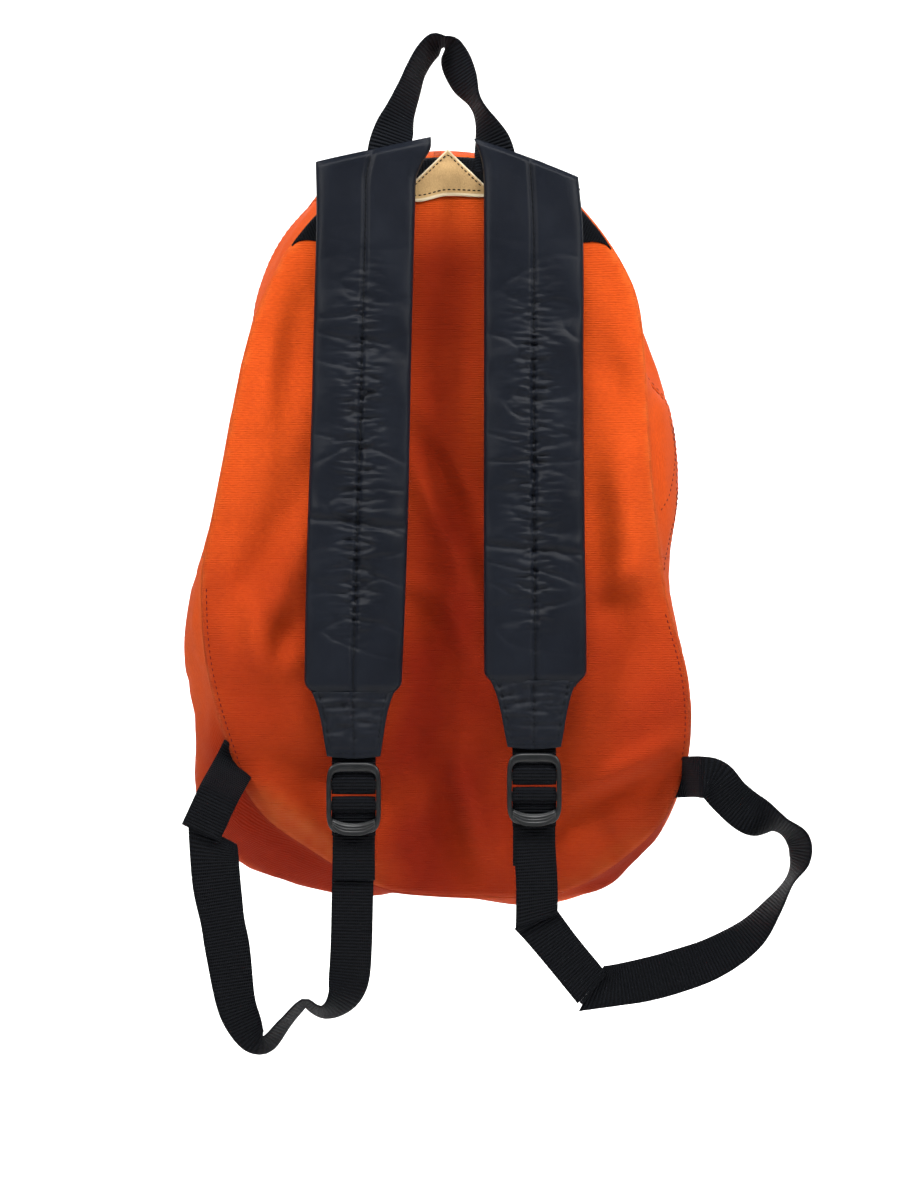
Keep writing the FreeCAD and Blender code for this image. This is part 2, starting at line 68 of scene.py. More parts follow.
def along(knots, value):
    """A value read from (place, value) knots by a smooth curve through them."""
    if value <= knots[0][0]:
        return knots[0][1]
    for index in range(len(knots) - 1):
        (p1, v1), (p2, v2) = knots[index], knots[index + 1]
        if value <= p2:
            p0, v0 = knots[max(index - 1, 0)]
            p3, v3 = knots[min(index + 2, len(knots) - 1)]
            slope1 = (v2 - v0) / (p2 - p0)
            slope2 = (v3 - v1) / (p3 - p1)
            u = (value - p1) / (p2 - p1)
            run = p2 - p1
            return ((2 * u ** 3 - 3 * u ** 2 + 1) * v1 + (u ** 3 - 2 * u ** 2 + u) * slope1 * run
                    + (3 * u ** 2 - 2 * u ** 3) * v2 + (u ** 3 - u ** 2) * slope2 * run)
    return knots[-1][1]


# ---------------------------------------------------------------- camera and studio
VIEW_CENTRE = mm(5.4, 0, -330)
VIEW_DISTANCE = 2.2
VIEW_HEIGHT = 0.72
SENSOR = 36.0


def make_camera():
    """A long lens at the strap side, level with the bag's middle."""
    data = bpy.data.cameras.new("camera")
    data.sensor_fit = "VERTICAL"
    data.sensor_height = SENSOR
    data.lens = SENSOR * VIEW_DISTANCE / VIEW_HEIGHT
    data.clip_end = 20
    camera = bpy.data.objects.new("camera", data)
    camera.location = VIEW_CENTRE - Vector((0, VIEW_DISTANCE, 0))
    camera.rotation_euler = (math.pi / 2, 0, 0)
    bpy.context.scene.collection.objects.link(camera)
    bpy.context.scene.camera = camera


def make_light(name, place, aim, width, power, tint=(1, 1, 1)):
    """A square soft box aimed at a point."""
    data = bpy.data.lights.new(name, "AREA")
    data.size = width
    data.energy = power
    data.color = tint
    light = bpy.data.objects.new(name, data)
    light.location = place
    light.rotation_euler = (Vector(aim) - Vector(place)).to_track_quat("-Z", "Y").to_euler()
    bpy.context.scene.collection.objects.link(light)


def make_studio():
    """A pale floor that curves up behind the bag, white surroundings and soft boxes."""
    world = bpy.data.worlds.new("studio")
    world.use_nodes = True
    background = world.node_tree.nodes["Background"]
    background.inputs["Color"].default_value = (1.0, 0.995, 0.985, 1)
    background.inputs["Strength"].default_value = 0.18
    bpy.context.scene.world = world
    bpy.context.scene.view_settings.view_transform = "Standard"

    floor_z, back_y, bend, wide = -0.80, 5.0, 1.6, 9.0
    rows = [(-wide, floor_z), (back_y - bend, floor_z)]
    for step in range(1, 13):
        angle = step / 12 * math.pi / 2
        rows.append((back_y - bend + bend * math.sin(angle), floor_z + bend * (1 - math.cos(angle))))
    rows.append((back_y, floor_z + wide))
    verts = [(x, y, z) for y, z in rows for x in (-wide, wide)]
    faces = [(2 * i, 2 * i + 1, 2 * i + 3, 2 * i + 2) for i in range(len(rows) - 1)]
    mesh = bpy.data.meshes.new("floor")
    mesh.from_pydata(verts, [], faces)
    for face in mesh.polygons:
        face.use_smooth = True
    floor = bpy.data.objects.new("floor", mesh)
    bpy.context.scene.collection.objects.link(floor)
    material = bpy.data.materials.new("studio_white")
    material.use_nodes = True
    shader = material.node_tree.nodes["Principled BSDF"]
    shader.inputs["Base Color"].default_value = (0.93, 0.93, 0.925, 1)
    shader.inputs["Roughness"].default_value = 0.9
    mesh.materials.append(material)

    aim = VIEW_CENTRE
    make_light("key_left", (-0.95, -0.66, 0.55), aim + mm(0, 0, 190), 0.34, 14, (1, 0.985, 0.96))
    make_light("key_right", (1.0, -0.66, 0.55), aim + mm(0, 0, 190), 0.34, 16, (1, 0.99, 0.97))
    make_light("above", (0.05, -0.62, 0.78), aim + mm(0, 0, 110), 0.42, 9.5)
    make_light("front", (-0.2, -2.3, 0.9), aim + mm(0, 0, 150), 1.2, 2.0)
    make_light("rear", (0.9, 2.6, 1.1), aim, 1.0, 9)
    for x in (-1.8, 1.8):
        make_light("backdrop", (x, 2.5, 0.8), (x * 0.3, 5.0, -0.1), 1.6, 85)
    make_light("floor_wash", (0, 1.9, 1.2), (0, 2.0, -0.8), 1.5, 62)


# ---------------------------------------------------------------- node materials
FULL_TURN = 2 * math.pi


class Wave:
    """An output of a node that adds and multiplies like a number."""

    def __init__(self, tree, socket):
        self.tree, self.socket = tree, socket

    def math(self, operation, other=None):
        """The Math node of that operation on this wave and a second wave or number."""
        node = self.tree.nodes.new("ShaderNodeMath")
        node.operation = operation
        plug(self, node.inputs[0])
        plug(other, node.inputs[1])
        return Wave(self.tree, node.outputs[0])

    def __add__(self, other):
        return self.math("ADD", other)

    def __mul__(self, other):
        return self.math("MULTIPLY", other)


def plug(value, socket):
    """Link a wave to an input, or set the input to a constant."""
    if isinstance(value, Wave):
        value.tree.links.new(value.socket, socket)
    elif value is not None:
        socket.default_value = value


def fill(node, **inputs):
    """Set or link a node's inputs by name."""
    for name, value in inputs.items():
        plug(value, node.inputs[name.replace("_", " ")])


def ribs(axis, pitch):
    """A sine wave along an axis, its pitch in metres."""
    return (axis * (FULL_TURN / pitch)).math("SINE")


class Surface:
    """A material being built: its shader's constants, then the nodes that vary them."""

    def __init__(self, name, colour, **constants):
        self.material = bpy.data.materials.new(name)
        self.material.use_nodes = True
        self.tree = self.material.node_tree
        self.shader = self.tree.nodes["Principled BSDF"]
        fill(self.shader, Base_Color=(*colour, 1), **constants)

    def node(self, kind, output=0, **inputs):
        """Add a node with its inputs and return one of its outputs."""
        node = self.tree.nodes.new("ShaderNode" + kind)
        fill(node, **inputs)
        return Wave(self.tree, node.outputs[output])

    def axes(self):
        """The cloth's own coordinates in metres: both, across and along."""
        uv = self.node("TexCoord", "UV")
        return uv, self.node("SeparateXYZ", 0, Vector=uv), self.node("SeparateXYZ", 1, Vector=uv)

    def noise(self, vector, scale, detail=2.0, roughness=0.5, stretch=None):
        """A noise texture, scale in cells to the metre; stretch scales each axis on its own."""
        if stretch:
            vector = self.node("Mapping", Vector=vector, Scale=stretch)
        return self.node("TexNoise", Vector=vector, Scale=scale, Detail=detail, Roughness=roughness)

    def attribute(self, name):
        """A number stored on the mesh's vertices."""
        node = self.tree.nodes.new("ShaderNodeAttribute")
        node.attribute_name = name
        return Wave(self.tree, node.outputs["Fac"])

    def ramp(self, wave, low, high, first=0.0, last=1.0):
        """Stretch a wave so that low gives first and high gives last."""
        return self.node("MapRange", Value=wave, From_Min=low, From_Max=high, To_Min=first, To_Max=last)

    def mix(self, factor, dark, light):
        """Blend two colours, each a wave or a triple."""
        node = self.tree.nodes.new("ShaderNodeMix")
        node.data_type = "RGBA"
        plug(factor, node.inputs[0])
        for slot, colour in ((6, dark), (7, light)):
            plug(colour if isinstance(colour, Wave) else (*colour, 1), node.inputs[slot])
        return Wave(self.tree, node.outputs[2])

    def relief(self, height, distance, strength):
        """Drive the shader's normal by a height; distance is in metres."""
        fill(self.shader, Normal=self.node("Bump", Height=height, Distance=distance, Strength=strength))

    def finish(self, base):
        """Link the base colour and return the material."""
        fill(self.shader, Base_Color=base)
        return self.material


def tinted(colour, factor):
    """A colour times a factor, at most 1."""
    return tuple(min(1.0, part * factor) for part in colour)


def make_canvas(name, deep, bright, worn, painted_shade):
    """Plain-weave cotton: thick weft slubs across, thinner warp down, mottled dye, paler where worn, and
    darkened by painted shade where its vertices carry it.
    """
    cloth = Surface(name, bright, Roughness=0.85, Sheen_Weight=0.08, Sheen_Roughness=0.40,
                    Sheen_Tint=(1.0, 0.42, 0.15, 1), Specular_IOR_Level=0.12)
    uv, across, down = cloth.axes()
    pitch = 0.00105
    wobble = cloth.noise(uv, 1.0, stretch=(40, 160, 1))
    weft = (down * (FULL_TURN / pitch) + wobble * 7.0).math("SINE")
    slub = cloth.noise(uv, 1.0, 3.0, 0.6, (330, 1000, 1))
    fuzz = cloth.noise(uv, 2600.0)
    weave = weft * ribs(across, pitch)
    cloth.relief(weave * 0.30 + weft * 0.55 + slub * 1.8 + fuzz * 0.6, 0.00028, 0.9)
    dye = cloth.noise(uv, 1.0, 4.0, 0.62, (9, 9, 1))
    middle = tuple(0.5 * (a + b) for a, b in zip(deep, bright))
    base = cloth.mix(cloth.ramp(dye, 0.30, 0.72), middle, bright)
    yarn = cloth.ramp(slub * 1.2 + weft * 0.10, 0.35, 0.85)
    base = cloth.mix((yarn * -1.0 + 1.0) * 0.45, base, deep)
    base = cloth.mix(cloth.attribute("wear"), base, worn)
    # Painted shade: the colour is pulled towards a deep shade colour where a vertex attribute marks
    # painted shade.
    return cloth.finish(cloth.mix(cloth.attribute("painted_shade"), base, painted_shade))


def make_nylon(name, colour, dusty):
    """Tightly woven coated nylon: fine weave, soft shine, dusty lighter patches."""
    cloth = Surface(name, colour, Roughness=0.38, Specular_IOR_Level=0.15, Sheen_Weight=0.02,
                    Sheen_Roughness=0.4, Sheen_Tint=(0.55, 0.62, 0.75, 1))
    uv, across, down = cloth.axes()
    weave = ribs(down, 0.0006) * ribs(across, 0.0006)
    cloth.relief(weave * 0.4 + cloth.noise(uv, 1.0, 3.0, stretch=(500, 1100, 1)), 0.00008, 0.8)
    dust = cloth.noise(uv, 1.0, 4.0, 0.6, (26, 18, 1))
    fill(cloth.shader, Roughness=cloth.ramp(dust, 0, 1, 0.32, 0.46))
    return cloth.finish(cloth.mix(cloth.ramp(dust, 0.3, 0.75), colour, dusty))


def make_webbing(name, colour, worn):
    """Ribbed nylon webbing: cross ribs with small yarns in them, worn pale on the ribs."""
    cloth = Surface(name, colour, Roughness=0.60, Specular_IOR_Level=0.07, Sheen_Weight=0.02,
                    Sheen_Tint=(0.6, 0.66, 0.8, 1))
    uv, across, down = cloth.axes()
    rib = ribs(down, 0.0019)
    fuzz = cloth.noise(uv, 1.0, stretch=(1500, 1500, 1))
    cloth.relief(rib + ribs(across, 0.0011) * 0.35 + fuzz * 0.7, 0.00030, 0.9)
    return cloth.finish(cloth.mix(cloth.ramp(rib + fuzz * 0.8, -0.2, 1.5), colour, worn))


def make_cloth_tape(name, colour, rib):
    """Narrow woven tape: a fine herringbone with plain edges."""
    cloth = Surface(name, colour, Roughness=0.7, Specular_IOR_Level=0.2)
    uv, across, down = cloth.axes()
    zigzag = ((across * 250.0).math("FRACT") + -0.5).math("ABSOLUTE") * 6.0
    weave = (zigzag + down * (FULL_TURN / rib)).math("SINE")
    cloth.relief(weave + cloth.noise(uv, 2200.0), 0.00012, 0.8)
    return cloth.finish(cloth.mix(cloth.ramp(weave, -1.0, 1.4), colour, tinted(colour, 2.2)))


def make_thread(name, colour):
    """Twisted sewing thread."""
    thread = Surface(name, colour, Roughness=0.75, Specular_IOR_Level=0.15)
    twist = thread.node("TexWave", "Fac", Vector=thread.node("TexCoord", "Object"), Scale=900.0,
                        Distortion=2.0)
    thread.relief(twist, 0.0001, 0.6)
    return thread.finish(thread.mix(twist, colour, tinted(colour, 1.7)))


def make_suede(name, colour, raw):
    """Split leather: fine nap, cloudy tone, pale raw edges by the wear attribute."""
    hide = Surface(name, colour, Roughness=0.9, Sheen_Weight=0.15, Sheen_Roughness=0.6,
                   Specular_IOR_Level=0.15)
    place = hide.node("TexCoord", "Object")
    nap = hide.noise(place, 1500.0, 4.0, 0.65, (1, 1, 0.6))
    cloud = hide.noise(place, 95.0, 4.0, 0.6)
    hide.relief(nap + cloud * 1.5, 0.00025, 0.8)
    tone = hide.mix(hide.ramp(cloud, 0.3, 0.7), tinted(colour, 0.80), colour)
    tone = hide.mix(hide.ramp(nap, 0.35, 0.9), tone, tinted(colour, 1.25))
    return hide.finish(hide.mix(hide.attribute("wear"), tone, raw))


def make_plastic(name, colour):
    """Moulded acetal or nylon: satin, with a fine spark-eroded grain and rubbed edges."""
    solid = Surface(name, colour, Roughness=0.32, Specular_IOR_Level=0.34)
    place = solid.node("TexCoord", "Object")
    solid.relief(solid.noise(place, 2400.0), 0.00006, 0.7)
    rub = solid.ramp(solid.noise(place, 180.0, 3.0), 0.35, 0.8)
    return solid.finish(solid.mix(rub, colour, (0.016, 0.017, 0.019)))


def make_metal(name, colour, bare):
    """Die-cast zip metal under worn gunmetal paint."""
    metal = Surface(name, colour, Roughness=0.34, Metallic=0.85)
    scratch = metal.noise(metal.node("TexCoord", "Object"), 420.0, 4.0, 0.7, (1, 1, 5))
    metal.relief(scratch, 0.00008, 0.5)
    fill(metal.shader, Roughness=metal.ramp(scratch, 0, 1, 0.28, 0.48))
    return metal.finish(metal.mix(metal.ramp(scratch, 0.52, 0.72), colour, bare))


# The last colour is the painted shade colour: canvas in shadow between the straps, at the foot and in the
# gusset's dart and crease.
CANVAS = make_canvas("orange_canvas", (0.44, 0.034, 0.004), (0.86, 0.116, 0.011),
                     (0.88, 0.24, 0.045), (0.27, 0.015, 0.0022))

NYLON = make_nylon("dark_packcloth", (0.0044, 0.0060, 0.0105), (0.0074, 0.0098, 0.0160))
WEBBING = make_webbing("black_webbing", (0.0010, 0.0013, 0.0022), (0.0042, 0.0052, 0.0078))
HANDLE_WEBBING = make_webbing("handle_webbing", (0.0022, 0.0028, 0.0042), (0.0082, 0.0098, 0.0135))
PLASTIC = make_plastic("buckle_acetal", (0.008, 0.009, 0.010))
COIL = make_plastic("nylon_coil", (0.012, 0.012, 0.013))
SUEDE = make_suede("tan_suede", (0.53, 0.34, 0.15), (0.78, 0.65, 0.44))
THREAD = make_thread("black_thread", (0.006, 0.007, 0.009))
RED_THREAD = make_thread("dark_red_thread", (0.085, 0.006, 0.004))
BINDING = make_cloth_tape("black_binding", (0.010, 0.010, 0.011), 0.0011)
ZIP_TAPE = make_cloth_tape("black_zip_tape", (0.008, 0.008, 0.009), 0.0008)
METAL = make_metal("painted_zinc", (0.055, 0.055, 0.058), (0.34, 0.33, 0.31))


# ---------------------------------------------------------------- mesh making
def noise_at(*place):
    """Smooth noise at a place, about -1 to 1, the same every run."""
    return noise.noise(Vector(place))


def make_mesh(name, points, faces, uvs=None, wear=None, material=None):
    """A smooth mesh piece from points in millimetres, with optional UVs and wear per point."""
    mesh = bpy.data.meshes.new(name)
    mesh.from_pydata([tuple(c * MM for c in point) for point in points], [], faces)
    mesh.validate()
    for face in mesh.polygons:
        face.use_smooth = True
    if uvs is not None:
        layer = mesh.uv_layers.new(name="UVMap")
        for loop in mesh.loops:
            u, v = uvs[loop.vertex_index]
            layer.data[loop.index].uv = (u * MM, v * MM)
    mesh.materials.append(material)
    piece = bpy.data.objects.new(name, mesh)
    bpy.context.scene.collection.objects.link(piece)
    if wear is not None:
        mark_vertices(piece, "wear", wear)
    return piece


def mark_vertices(piece, name, values):
    """A number from 0 to 1 at every vertex, for the materials to read."""
    piece.data.attributes.new(name, "FLOAT", "POINT").data.foreach_set("value", values)


def grid_faces(rows, columns, closed=False, start=0):
    """Quads of a grid of points, row by row, closed round its columns on request."""
    last = columns if closed else columns - 1
    return [(start + r * columns + c, start + r * columns + (c + 1) % columns,
             start + (r + 1) * columns + (c + 1) % columns, start + (r + 1) * columns + c)
            for r in range(rows - 1) for c in range(last)]


def tube_faces(rings, around, start=0):
    """Quads of a tube, ring by ring, and its two end caps."""
    last = start + (rings - 1) * around
    return grid_faces(rings, around, True, start) + [
        tuple(reversed(range(start, start + around))), tuple(range(last, last + around))]


def across_steps(count):
    """Evenly spaced places from -1 to 1."""
    return [-1 + 2 * step / (count - 1) for step in range(count)]


def circle(count):
    """The cosine and sine of evenly spaced directions."""
    return [(math.cos(FULL_TURN * k / count), math.sin(FULL_TURN * k / count)) for k in range(count)]


def recalculate(piece):
    """Turn every face of a closed piece outwards."""
    mesh = bmesh.new()
    mesh.from_mesh(piece.data)
    bmesh.ops.recalc_face_normals(mesh, faces=mesh.faces)
    mesh.to_mesh(piece.data)
    mesh.free()
    return piece


def apply_modifiers(piece):
    """Replace a piece's mesh by what its modifiers make of it."""
    bpy.context.view_layer.update()
    graph = bpy.context.evaluated_depsgraph_get()
    made = bpy.data.meshes.new_from_object(piece.evaluated_get(graph))
    piece.modifiers.clear()
    piece.data = made
    return piece


def thicken(piece, thickness, subdivide=0):
    """Give a sheet its thickness in millimetres, half to each side, and smooth it."""
    solid = piece.modifiers.new("Solidify", "SOLIDIFY")
    solid.thickness, solid.offset = thickness * MM, 0.0
    if subdivide:
        subsurf = piece.modifiers.new("Subsurf", "SUBSURF")
        subsurf.levels = subsurf.render_levels = subdivide
    return apply_modifiers(piece)


def settle(piece, body, slot, *nodes):
    """Parent a piece to its body's empty and hide the CAD nodes that it stands for; its finish slot is
    not used.
    """
    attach(piece, body)
    finish_piece(piece, slot, *nodes)


def bend(piece, bodies, places, slot, *nodes):
    """Bake a piece's transform into its mesh and hide the CAD nodes that it stands for; the bodies, the
    places in millimetres and the slot are not used.
    """
    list(bodies)
    mm(*places[0])
    mm(*places[1])
    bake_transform(piece)
    finish_piece(piece, slot, *nodes)


def finish_piece(piece, slot, *nodes):
    """Hide the CAD nodes that a piece stands for; its finish slot is not used."""
    if nodes:
        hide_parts(*nodes)


# ---------------------------------------------------------------- the canvas shell
FLAP_HINGE = (0, 129, -322), (0, 129, -287)
CANVAS_THICK = 1.1


def follow(piece, body, slot, *nodes):
    """Settles a piece; one of the flap goes through bend instead, which bakes it in place and does not
    fold it.
    """
    if body == "front_flap":
        bend(piece, ("bag", body), FLAP_HINGE, slot, *nodes)
    else:
        settle(piece, body, slot, *nodes)


CORE = (0.0, -304.5)       # the outlines are measured from here; its height is the flap's hinge
AROUND = 360

# Outlines as seen from the strap side, clockwise from the top: (across, up).
BACK_SEAM = [
    (0, -62), (40, -66), (70, -80), (92, -102), (107, -124), (117, -146), (122, -175), (124.5, -215),
    (127, -255), (131, -290), (135, -325), (141, -348), (148, -378), (150, -408), (146, -437),
    (133, -466), (105, -492), (71, -509), (30, -511), (-25, -508), (-55, -497), (-82, -480),
    (-104, -464), (-119, -444), (-128, -420), (-136, -394), (-142, -366), (-144.5, -338),
    (-144, -310), (-138, -280), (-130, -240), (-123, -205), (-118, -180), (-111, -156),
    (-101, -134), (-88, -112), (-68, -90), (-40, -70),
]

WIDEST = [
    (0, -55), (47, -61), (82, -81), (96, -102), (111, -124), (119, -146), (129, -172), (137, -196),
    (144, -236), (145, -268), (141, -300), (141, -330), (146, -352), (151, -380), (153, -408),
    (149, -437), (136, -470), (110, -500), (78, -515), (49, -517), (11, -511), (-12, -505),
    (-39, -511), (-67, -509), (-118, -494), (-144, -474), (-150, -444), (-152, -404), (-156, -378),
    (-157, -350), (-151, -314), (-141, -280), (-132, -240), (-124, -203), (-121, -172),
    (-111, -147), (-96, -116), (-85, -92), (-73, -74), (-45, -60),
]

FRONT_SEAM = [
    (0, -62), (45, -67), (80, -88), (100, -115), (114, -146), (124, -180), (131, -220),
    (136, -270), (139, -320), (143, -370), (144, -410), (138, -450), (118, -482), (80, -502),
    (20, -505), (-40, -504), (-95, -495), (-132, -470), (-144, -435), (-147, -390), (-146, -340),
    (-139, -280), (-129, -220), (-118, -172), (-106, -140), (-86, -100), (-50, -68),
]


def curve_through(knots, steps_at, closed=False):
    """Samples of a smooth curve through knots of any size; a closed one has as many at each."""
    count = len(knots)
    samples = []
    for index in range(count if closed else count - 1):
        places = [index + k for k in (-1, 0, 1, 2)]
        p0, p1, p2, p3 = (knots[k % count if closed else min(max(k, 0), count - 1)] for k in places)
        steps = steps_at if closed else steps_at[index]
        for step in range(steps + (not closed and index == count - 2)):
            u = step / steps
            samples.append(tuple(
                0.5 * (2 * b + (c - a) * u + (2 * a - 5 * b + 4 * c - d) * u * u
                       + (3 * b - a - 3 * c + d) * u ** 3)
                for a, b, c, d in zip(p0, p1, p2, p3)))
    return samples


def rim_table(outline):
    """How far the outline lies from the core in each of AROUND directions."""
    samples = []
    for x, z in curve_through(outline, 12, True):
        dx, dz = x - CORE[0], z - CORE[1]
        samples.append((math.atan2(dx, dz) % FULL_TURN, math.hypot(dx, dz)))
    samples.sort()
    samples = [(samples[-1][0] - FULL_TURN, samples[-1][1])] + samples
    samples.append((samples[1][0] + FULL_TURN, samples[1][1]))
    table = []
    place = 0
    for step in range(AROUND):
        angle = FULL_TURN * step / AROUND
        while samples[place + 1][0] < angle:
            place += 1
        (a1, r1), (a2, r2) = samples[place], samples[place + 1]
        table.append(r1 + (r2 - r1) * (angle - a1) / (a2 - a1))
    return table


BACK_RIM, WIDE_RIM, FRONT_RIM = (rim_table(outline) for outline in (BACK_SEAM, WIDEST, FRONT_SEAM))


def reach(rim, step):
    """An outline's distance from the core, between whole directions too."""
    low = math.floor(step)
    part = step - low
    return rim[low % AROUND] * (1 - part) + rim[(low + 1) % AROUND] * part


def at(step, radius):
    """Across and up at a direction number and a distance from the core."""
    angle = FULL_TURN * step / AROUND
    return CORE[0] + radius * math.sin(angle), CORE[1] + radius * math.cos(angle)


def polar(x, z):
    """The direction number of a place in the panel's plane, and its distance from the core."""
    dx, dz = x - CORE[0], z - CORE[1]
    return math.degrees(math.atan2(dx, dz)), math.hypot(dx, dz)


def radial(point):
    """Outwards from the bag's core, in the panel's plane."""
    return Vector((point[0] - CORE[0], 0, point[2] - CORE[1])).normalized()


# Folds of the back panel: from (x, z) to (x, z), width and height; above zero is towards the straps.
BACK_FOLDS = [
    (-79, -246, -136, -354, 15, -5.5), (-66, -262, -122, -372, 11, 4.2),
    (-22, -225, 16, -292, 8, -3.0), (-8, -218, 26, -280, 8, 2.6),
    (-18, -240, 24, -334, 9, 4.4), (-6, -232, 36, -326, 9, -4.2), (-24, -318, 10, -330, 7, 2.8),
    (-14, -330, 20, -392, 11, -3.8), (-2, -322, 34, -384, 8, 2.6),
    (-7, -420, 18, -505, 12, -6.5), (10, -430, 36, -500, 10, 5.5),
    (-112, -444, -56, -480, 9, 8.0), (-104, -424, -40, -454, 12, -7.0),
    (84, -444, 146, -414, 8, 6.5), (78, -458, 140, -434, 10, -6.0), (96, -470, 134, -500, 8, -5.0),
    (90, -384, 128, -330, 11, -4.2), (112, -246, 124, -336, 12, 4.8), (92, -248, 97, -336, 12, -5.0),
    (-96, -130, -112, -220, 10, 3.0), (-84, -150, -96, -230, 11, -3.0), (-128, -300, -134, -396, 8, 3.0),
    (-104, -352, -84, -346, 13, -4.6), (-118, -330, -108, -372, 7, 3.4), (-96, -372, -82, -366, 8, 3.0),
    (-30, -480, -6, -440, 8, 3.6), (40, -500, 62, -450, 9, 3.2), (96, -180, 112, -210, 11, -2.8),
    (-128, -455, -66, -508, 6, 5.0), (-120, -466, -60, -515, 6, -3.6),
    (92, -338, 124, -328, 11, -4.4), (88, -326, 124, -308, 8, 2.6), (62, -478, 96, -456, 7, -3.4),
]


def fold_height(folds, x, z):
    """The sum of the folds' heights at a point."""
    total = 0.0
    for x1, z1, x2, z2, width, height in folds:
        run = math.hypot(x2 - x1, z2 - z1)
        part = ((x - x1) * (x2 - x1) + (z - z1) * (z2 - z1)) / run ** 2
        held = min(1.0, max(0.0, part))
        away = math.hypot(x - x1 - held * (x2 - x1), z - z1 - held * (z2 - z1))
        total += height * math.exp(-(away / width) ** 2) * (1 - 0.55 * (2 * held - 1) ** 2)
    return total


def ripple(x, y, z, pitch, height):
    """Soft irregular waves of cloth."""
    return height * noise_at(x / pitch, y / pitch, z / pitch)


def back_depth(x, z, part):
    """How far the back panel lies from the strap side; part is 0 at the core, 1 at the seam.

    The cloth rounds over to the seam, hangs hollow between the straps and tucks under at its foot.
    """
    over = 11.0 * part ** 5
    hollow = 15.0 * bump(x, 4, 58) * smooth(-85, -190, z) * smooth(1.0, 0.7, part)
    under = 26.0 * smooth(-380, -525, z) ** 1.3
    slack = ripple(x, 0, z, 62, 5.0) + ripple(x, 9, z * 0.8, 27, 2.0) + ripple(x, 21, z * 0.6, 12, 0.6)
    folds = 1.35 * fold_height(BACK_FOLDS, x, z) + slack
    depth = 4.0 + over + hollow + under - folds * (0.5 + 0.5 * smooth(1.0, 0.85, part))
    return max(depth, 0.6 + 0.15 * depth) + 1.5 * smooth(0.985, 1.0, part)


FRONT_Y = 128.0
ZIP_Y = 60.0
ARCH_RADIUS = 116.2     # the sliders run on a circle of this radius, this far below the hook
ARCH_DROP = 171.0
UPPER = [step % AROUND for step in range(270, 451)]     # directions above the flap's hinge
LOWER = list(range(90, 271))
WHOLE = list(range(AROUND))


def seam_depth(step):
    """Where the back seam lies in Y in one direction."""
    x, z = at(step, reach(BACK_RIM, step))
    return back_depth(x, z, 1.0)


def zip_reach(step):
    """The shell's distance from the core on the zip line: a true arch where the sliders run."""
    turn = (step + 180) % 360 - 180
    wide = reach(WIDE_RIM, step)
    share = smooth(57, 37, abs(turn))
    if not share:
        return wide
    rise = -ARCH_DROP - CORE[1]
    angle = math.radians(turn)
    arch = rise * math.cos(angle) + math.sqrt(ARCH_RADIUS ** 2 - (rise * math.sin(angle)) ** 2)
    return wide + (arch - wide) * share


def shell_point(step, y):
    """A point on the gusset in one direction, at a depth, with the cloth's slack."""
    start = seam_depth(step)
    part = (y - start) / (FRONT_Y - start)
    back, wide, front = (reach(rim, step) for rim in (BACK_RIM, WIDE_RIM, FRONT_RIM))
    zipped = zip_reach(step)
    dart = 4.5 * bump(step, 139, 13)
    radius = along([(0, back), (0.035, back + 1.2 - 0.5 * dart),
                    (0.12, back + 0.45 * (zipped - back) + 0.8 - dart),
                    ((ZIP_Y - start) / (FRONT_Y - start), zipped), (0.72, wide), (1, front)], part)
    x, z = at(step, radius)
    calm = smooth(0, 0.12, part) * smooth(1, 0.85, part)
    slack = ripple(x, y, z, 55, 5.0) + ripple(x, y, z + 70, 24, 2.4) + ripple(x, y, z, 11, 0.8)
    near_zip = 1 - bump(y, ZIP_Y, 16) * smooth(-330, -290, z)
    x, z = at(step, radius + min(slack, 0.6) * calm * near_zip)
    return x, y, z


def rim_lengths(rim):
    """Arc length from the top to each direction."""
    total, lengths = 0.0, []
    for step in range(AROUND):
        lengths.append(total)
        after = (step + 1) % AROUND
        total += math.dist(at(step, rim[step]), at(after, rim[after]))
    return lengths


WIDE_LENGTH = rim_lengths(WIDE_RIM)


def make_gusset(name, steps, low, high, rows):
    """A band of the gusset between two depths; low None starts it on the back seam."""
    points, uvs, wear, painted_shade = [], [], [], []
    for row in range(rows):
        part = row / (rows - 1)
        for step in steps:
            start = seam_depth(step) if low is None else low
            y = start + (high - start) * part
            x, y, z = shell_point(step, y)
            points.append((x, y, z))
            uvs.append((WIDE_LENGTH[step], y))
            edge = bump(part, 0, 0.03) if low is None else 0
            rim = 0.3 * bump(step, 141, 12) * bump(y - seam_depth(step), 36, 10)
            wear.append(rim + 0.25 * edge * (0.5 + noise_at(x / 9, y / 9, z / 9)))
            # Painted shade: darker canvas in the hollow of the dart at the lower right, towards the
            # bottom and away from the front, and in the crease beside the back seam at the lower left.
            dart = bump(step, 139, 15) * bump(y - start, 12, 11)
            shaded = 0.35 * smooth(-190, -380, z) + 0.4 * smooth(-370, -470, z)
            painted_crease_shade = bump(step, 212, 19) * bump(y - start, 4, 22)
            painted_shade.append(min(1.0, shaded * smooth(115, 40, y) + 0.9 * dart + 0.8 * painted_crease_shade))
    gusset = make_mesh(name, points, grid_faces(rows, len(steps)), uvs, wear, CANVAS)
    mark_vertices(gusset, "painted_shade", painted_shade)
    return gusset


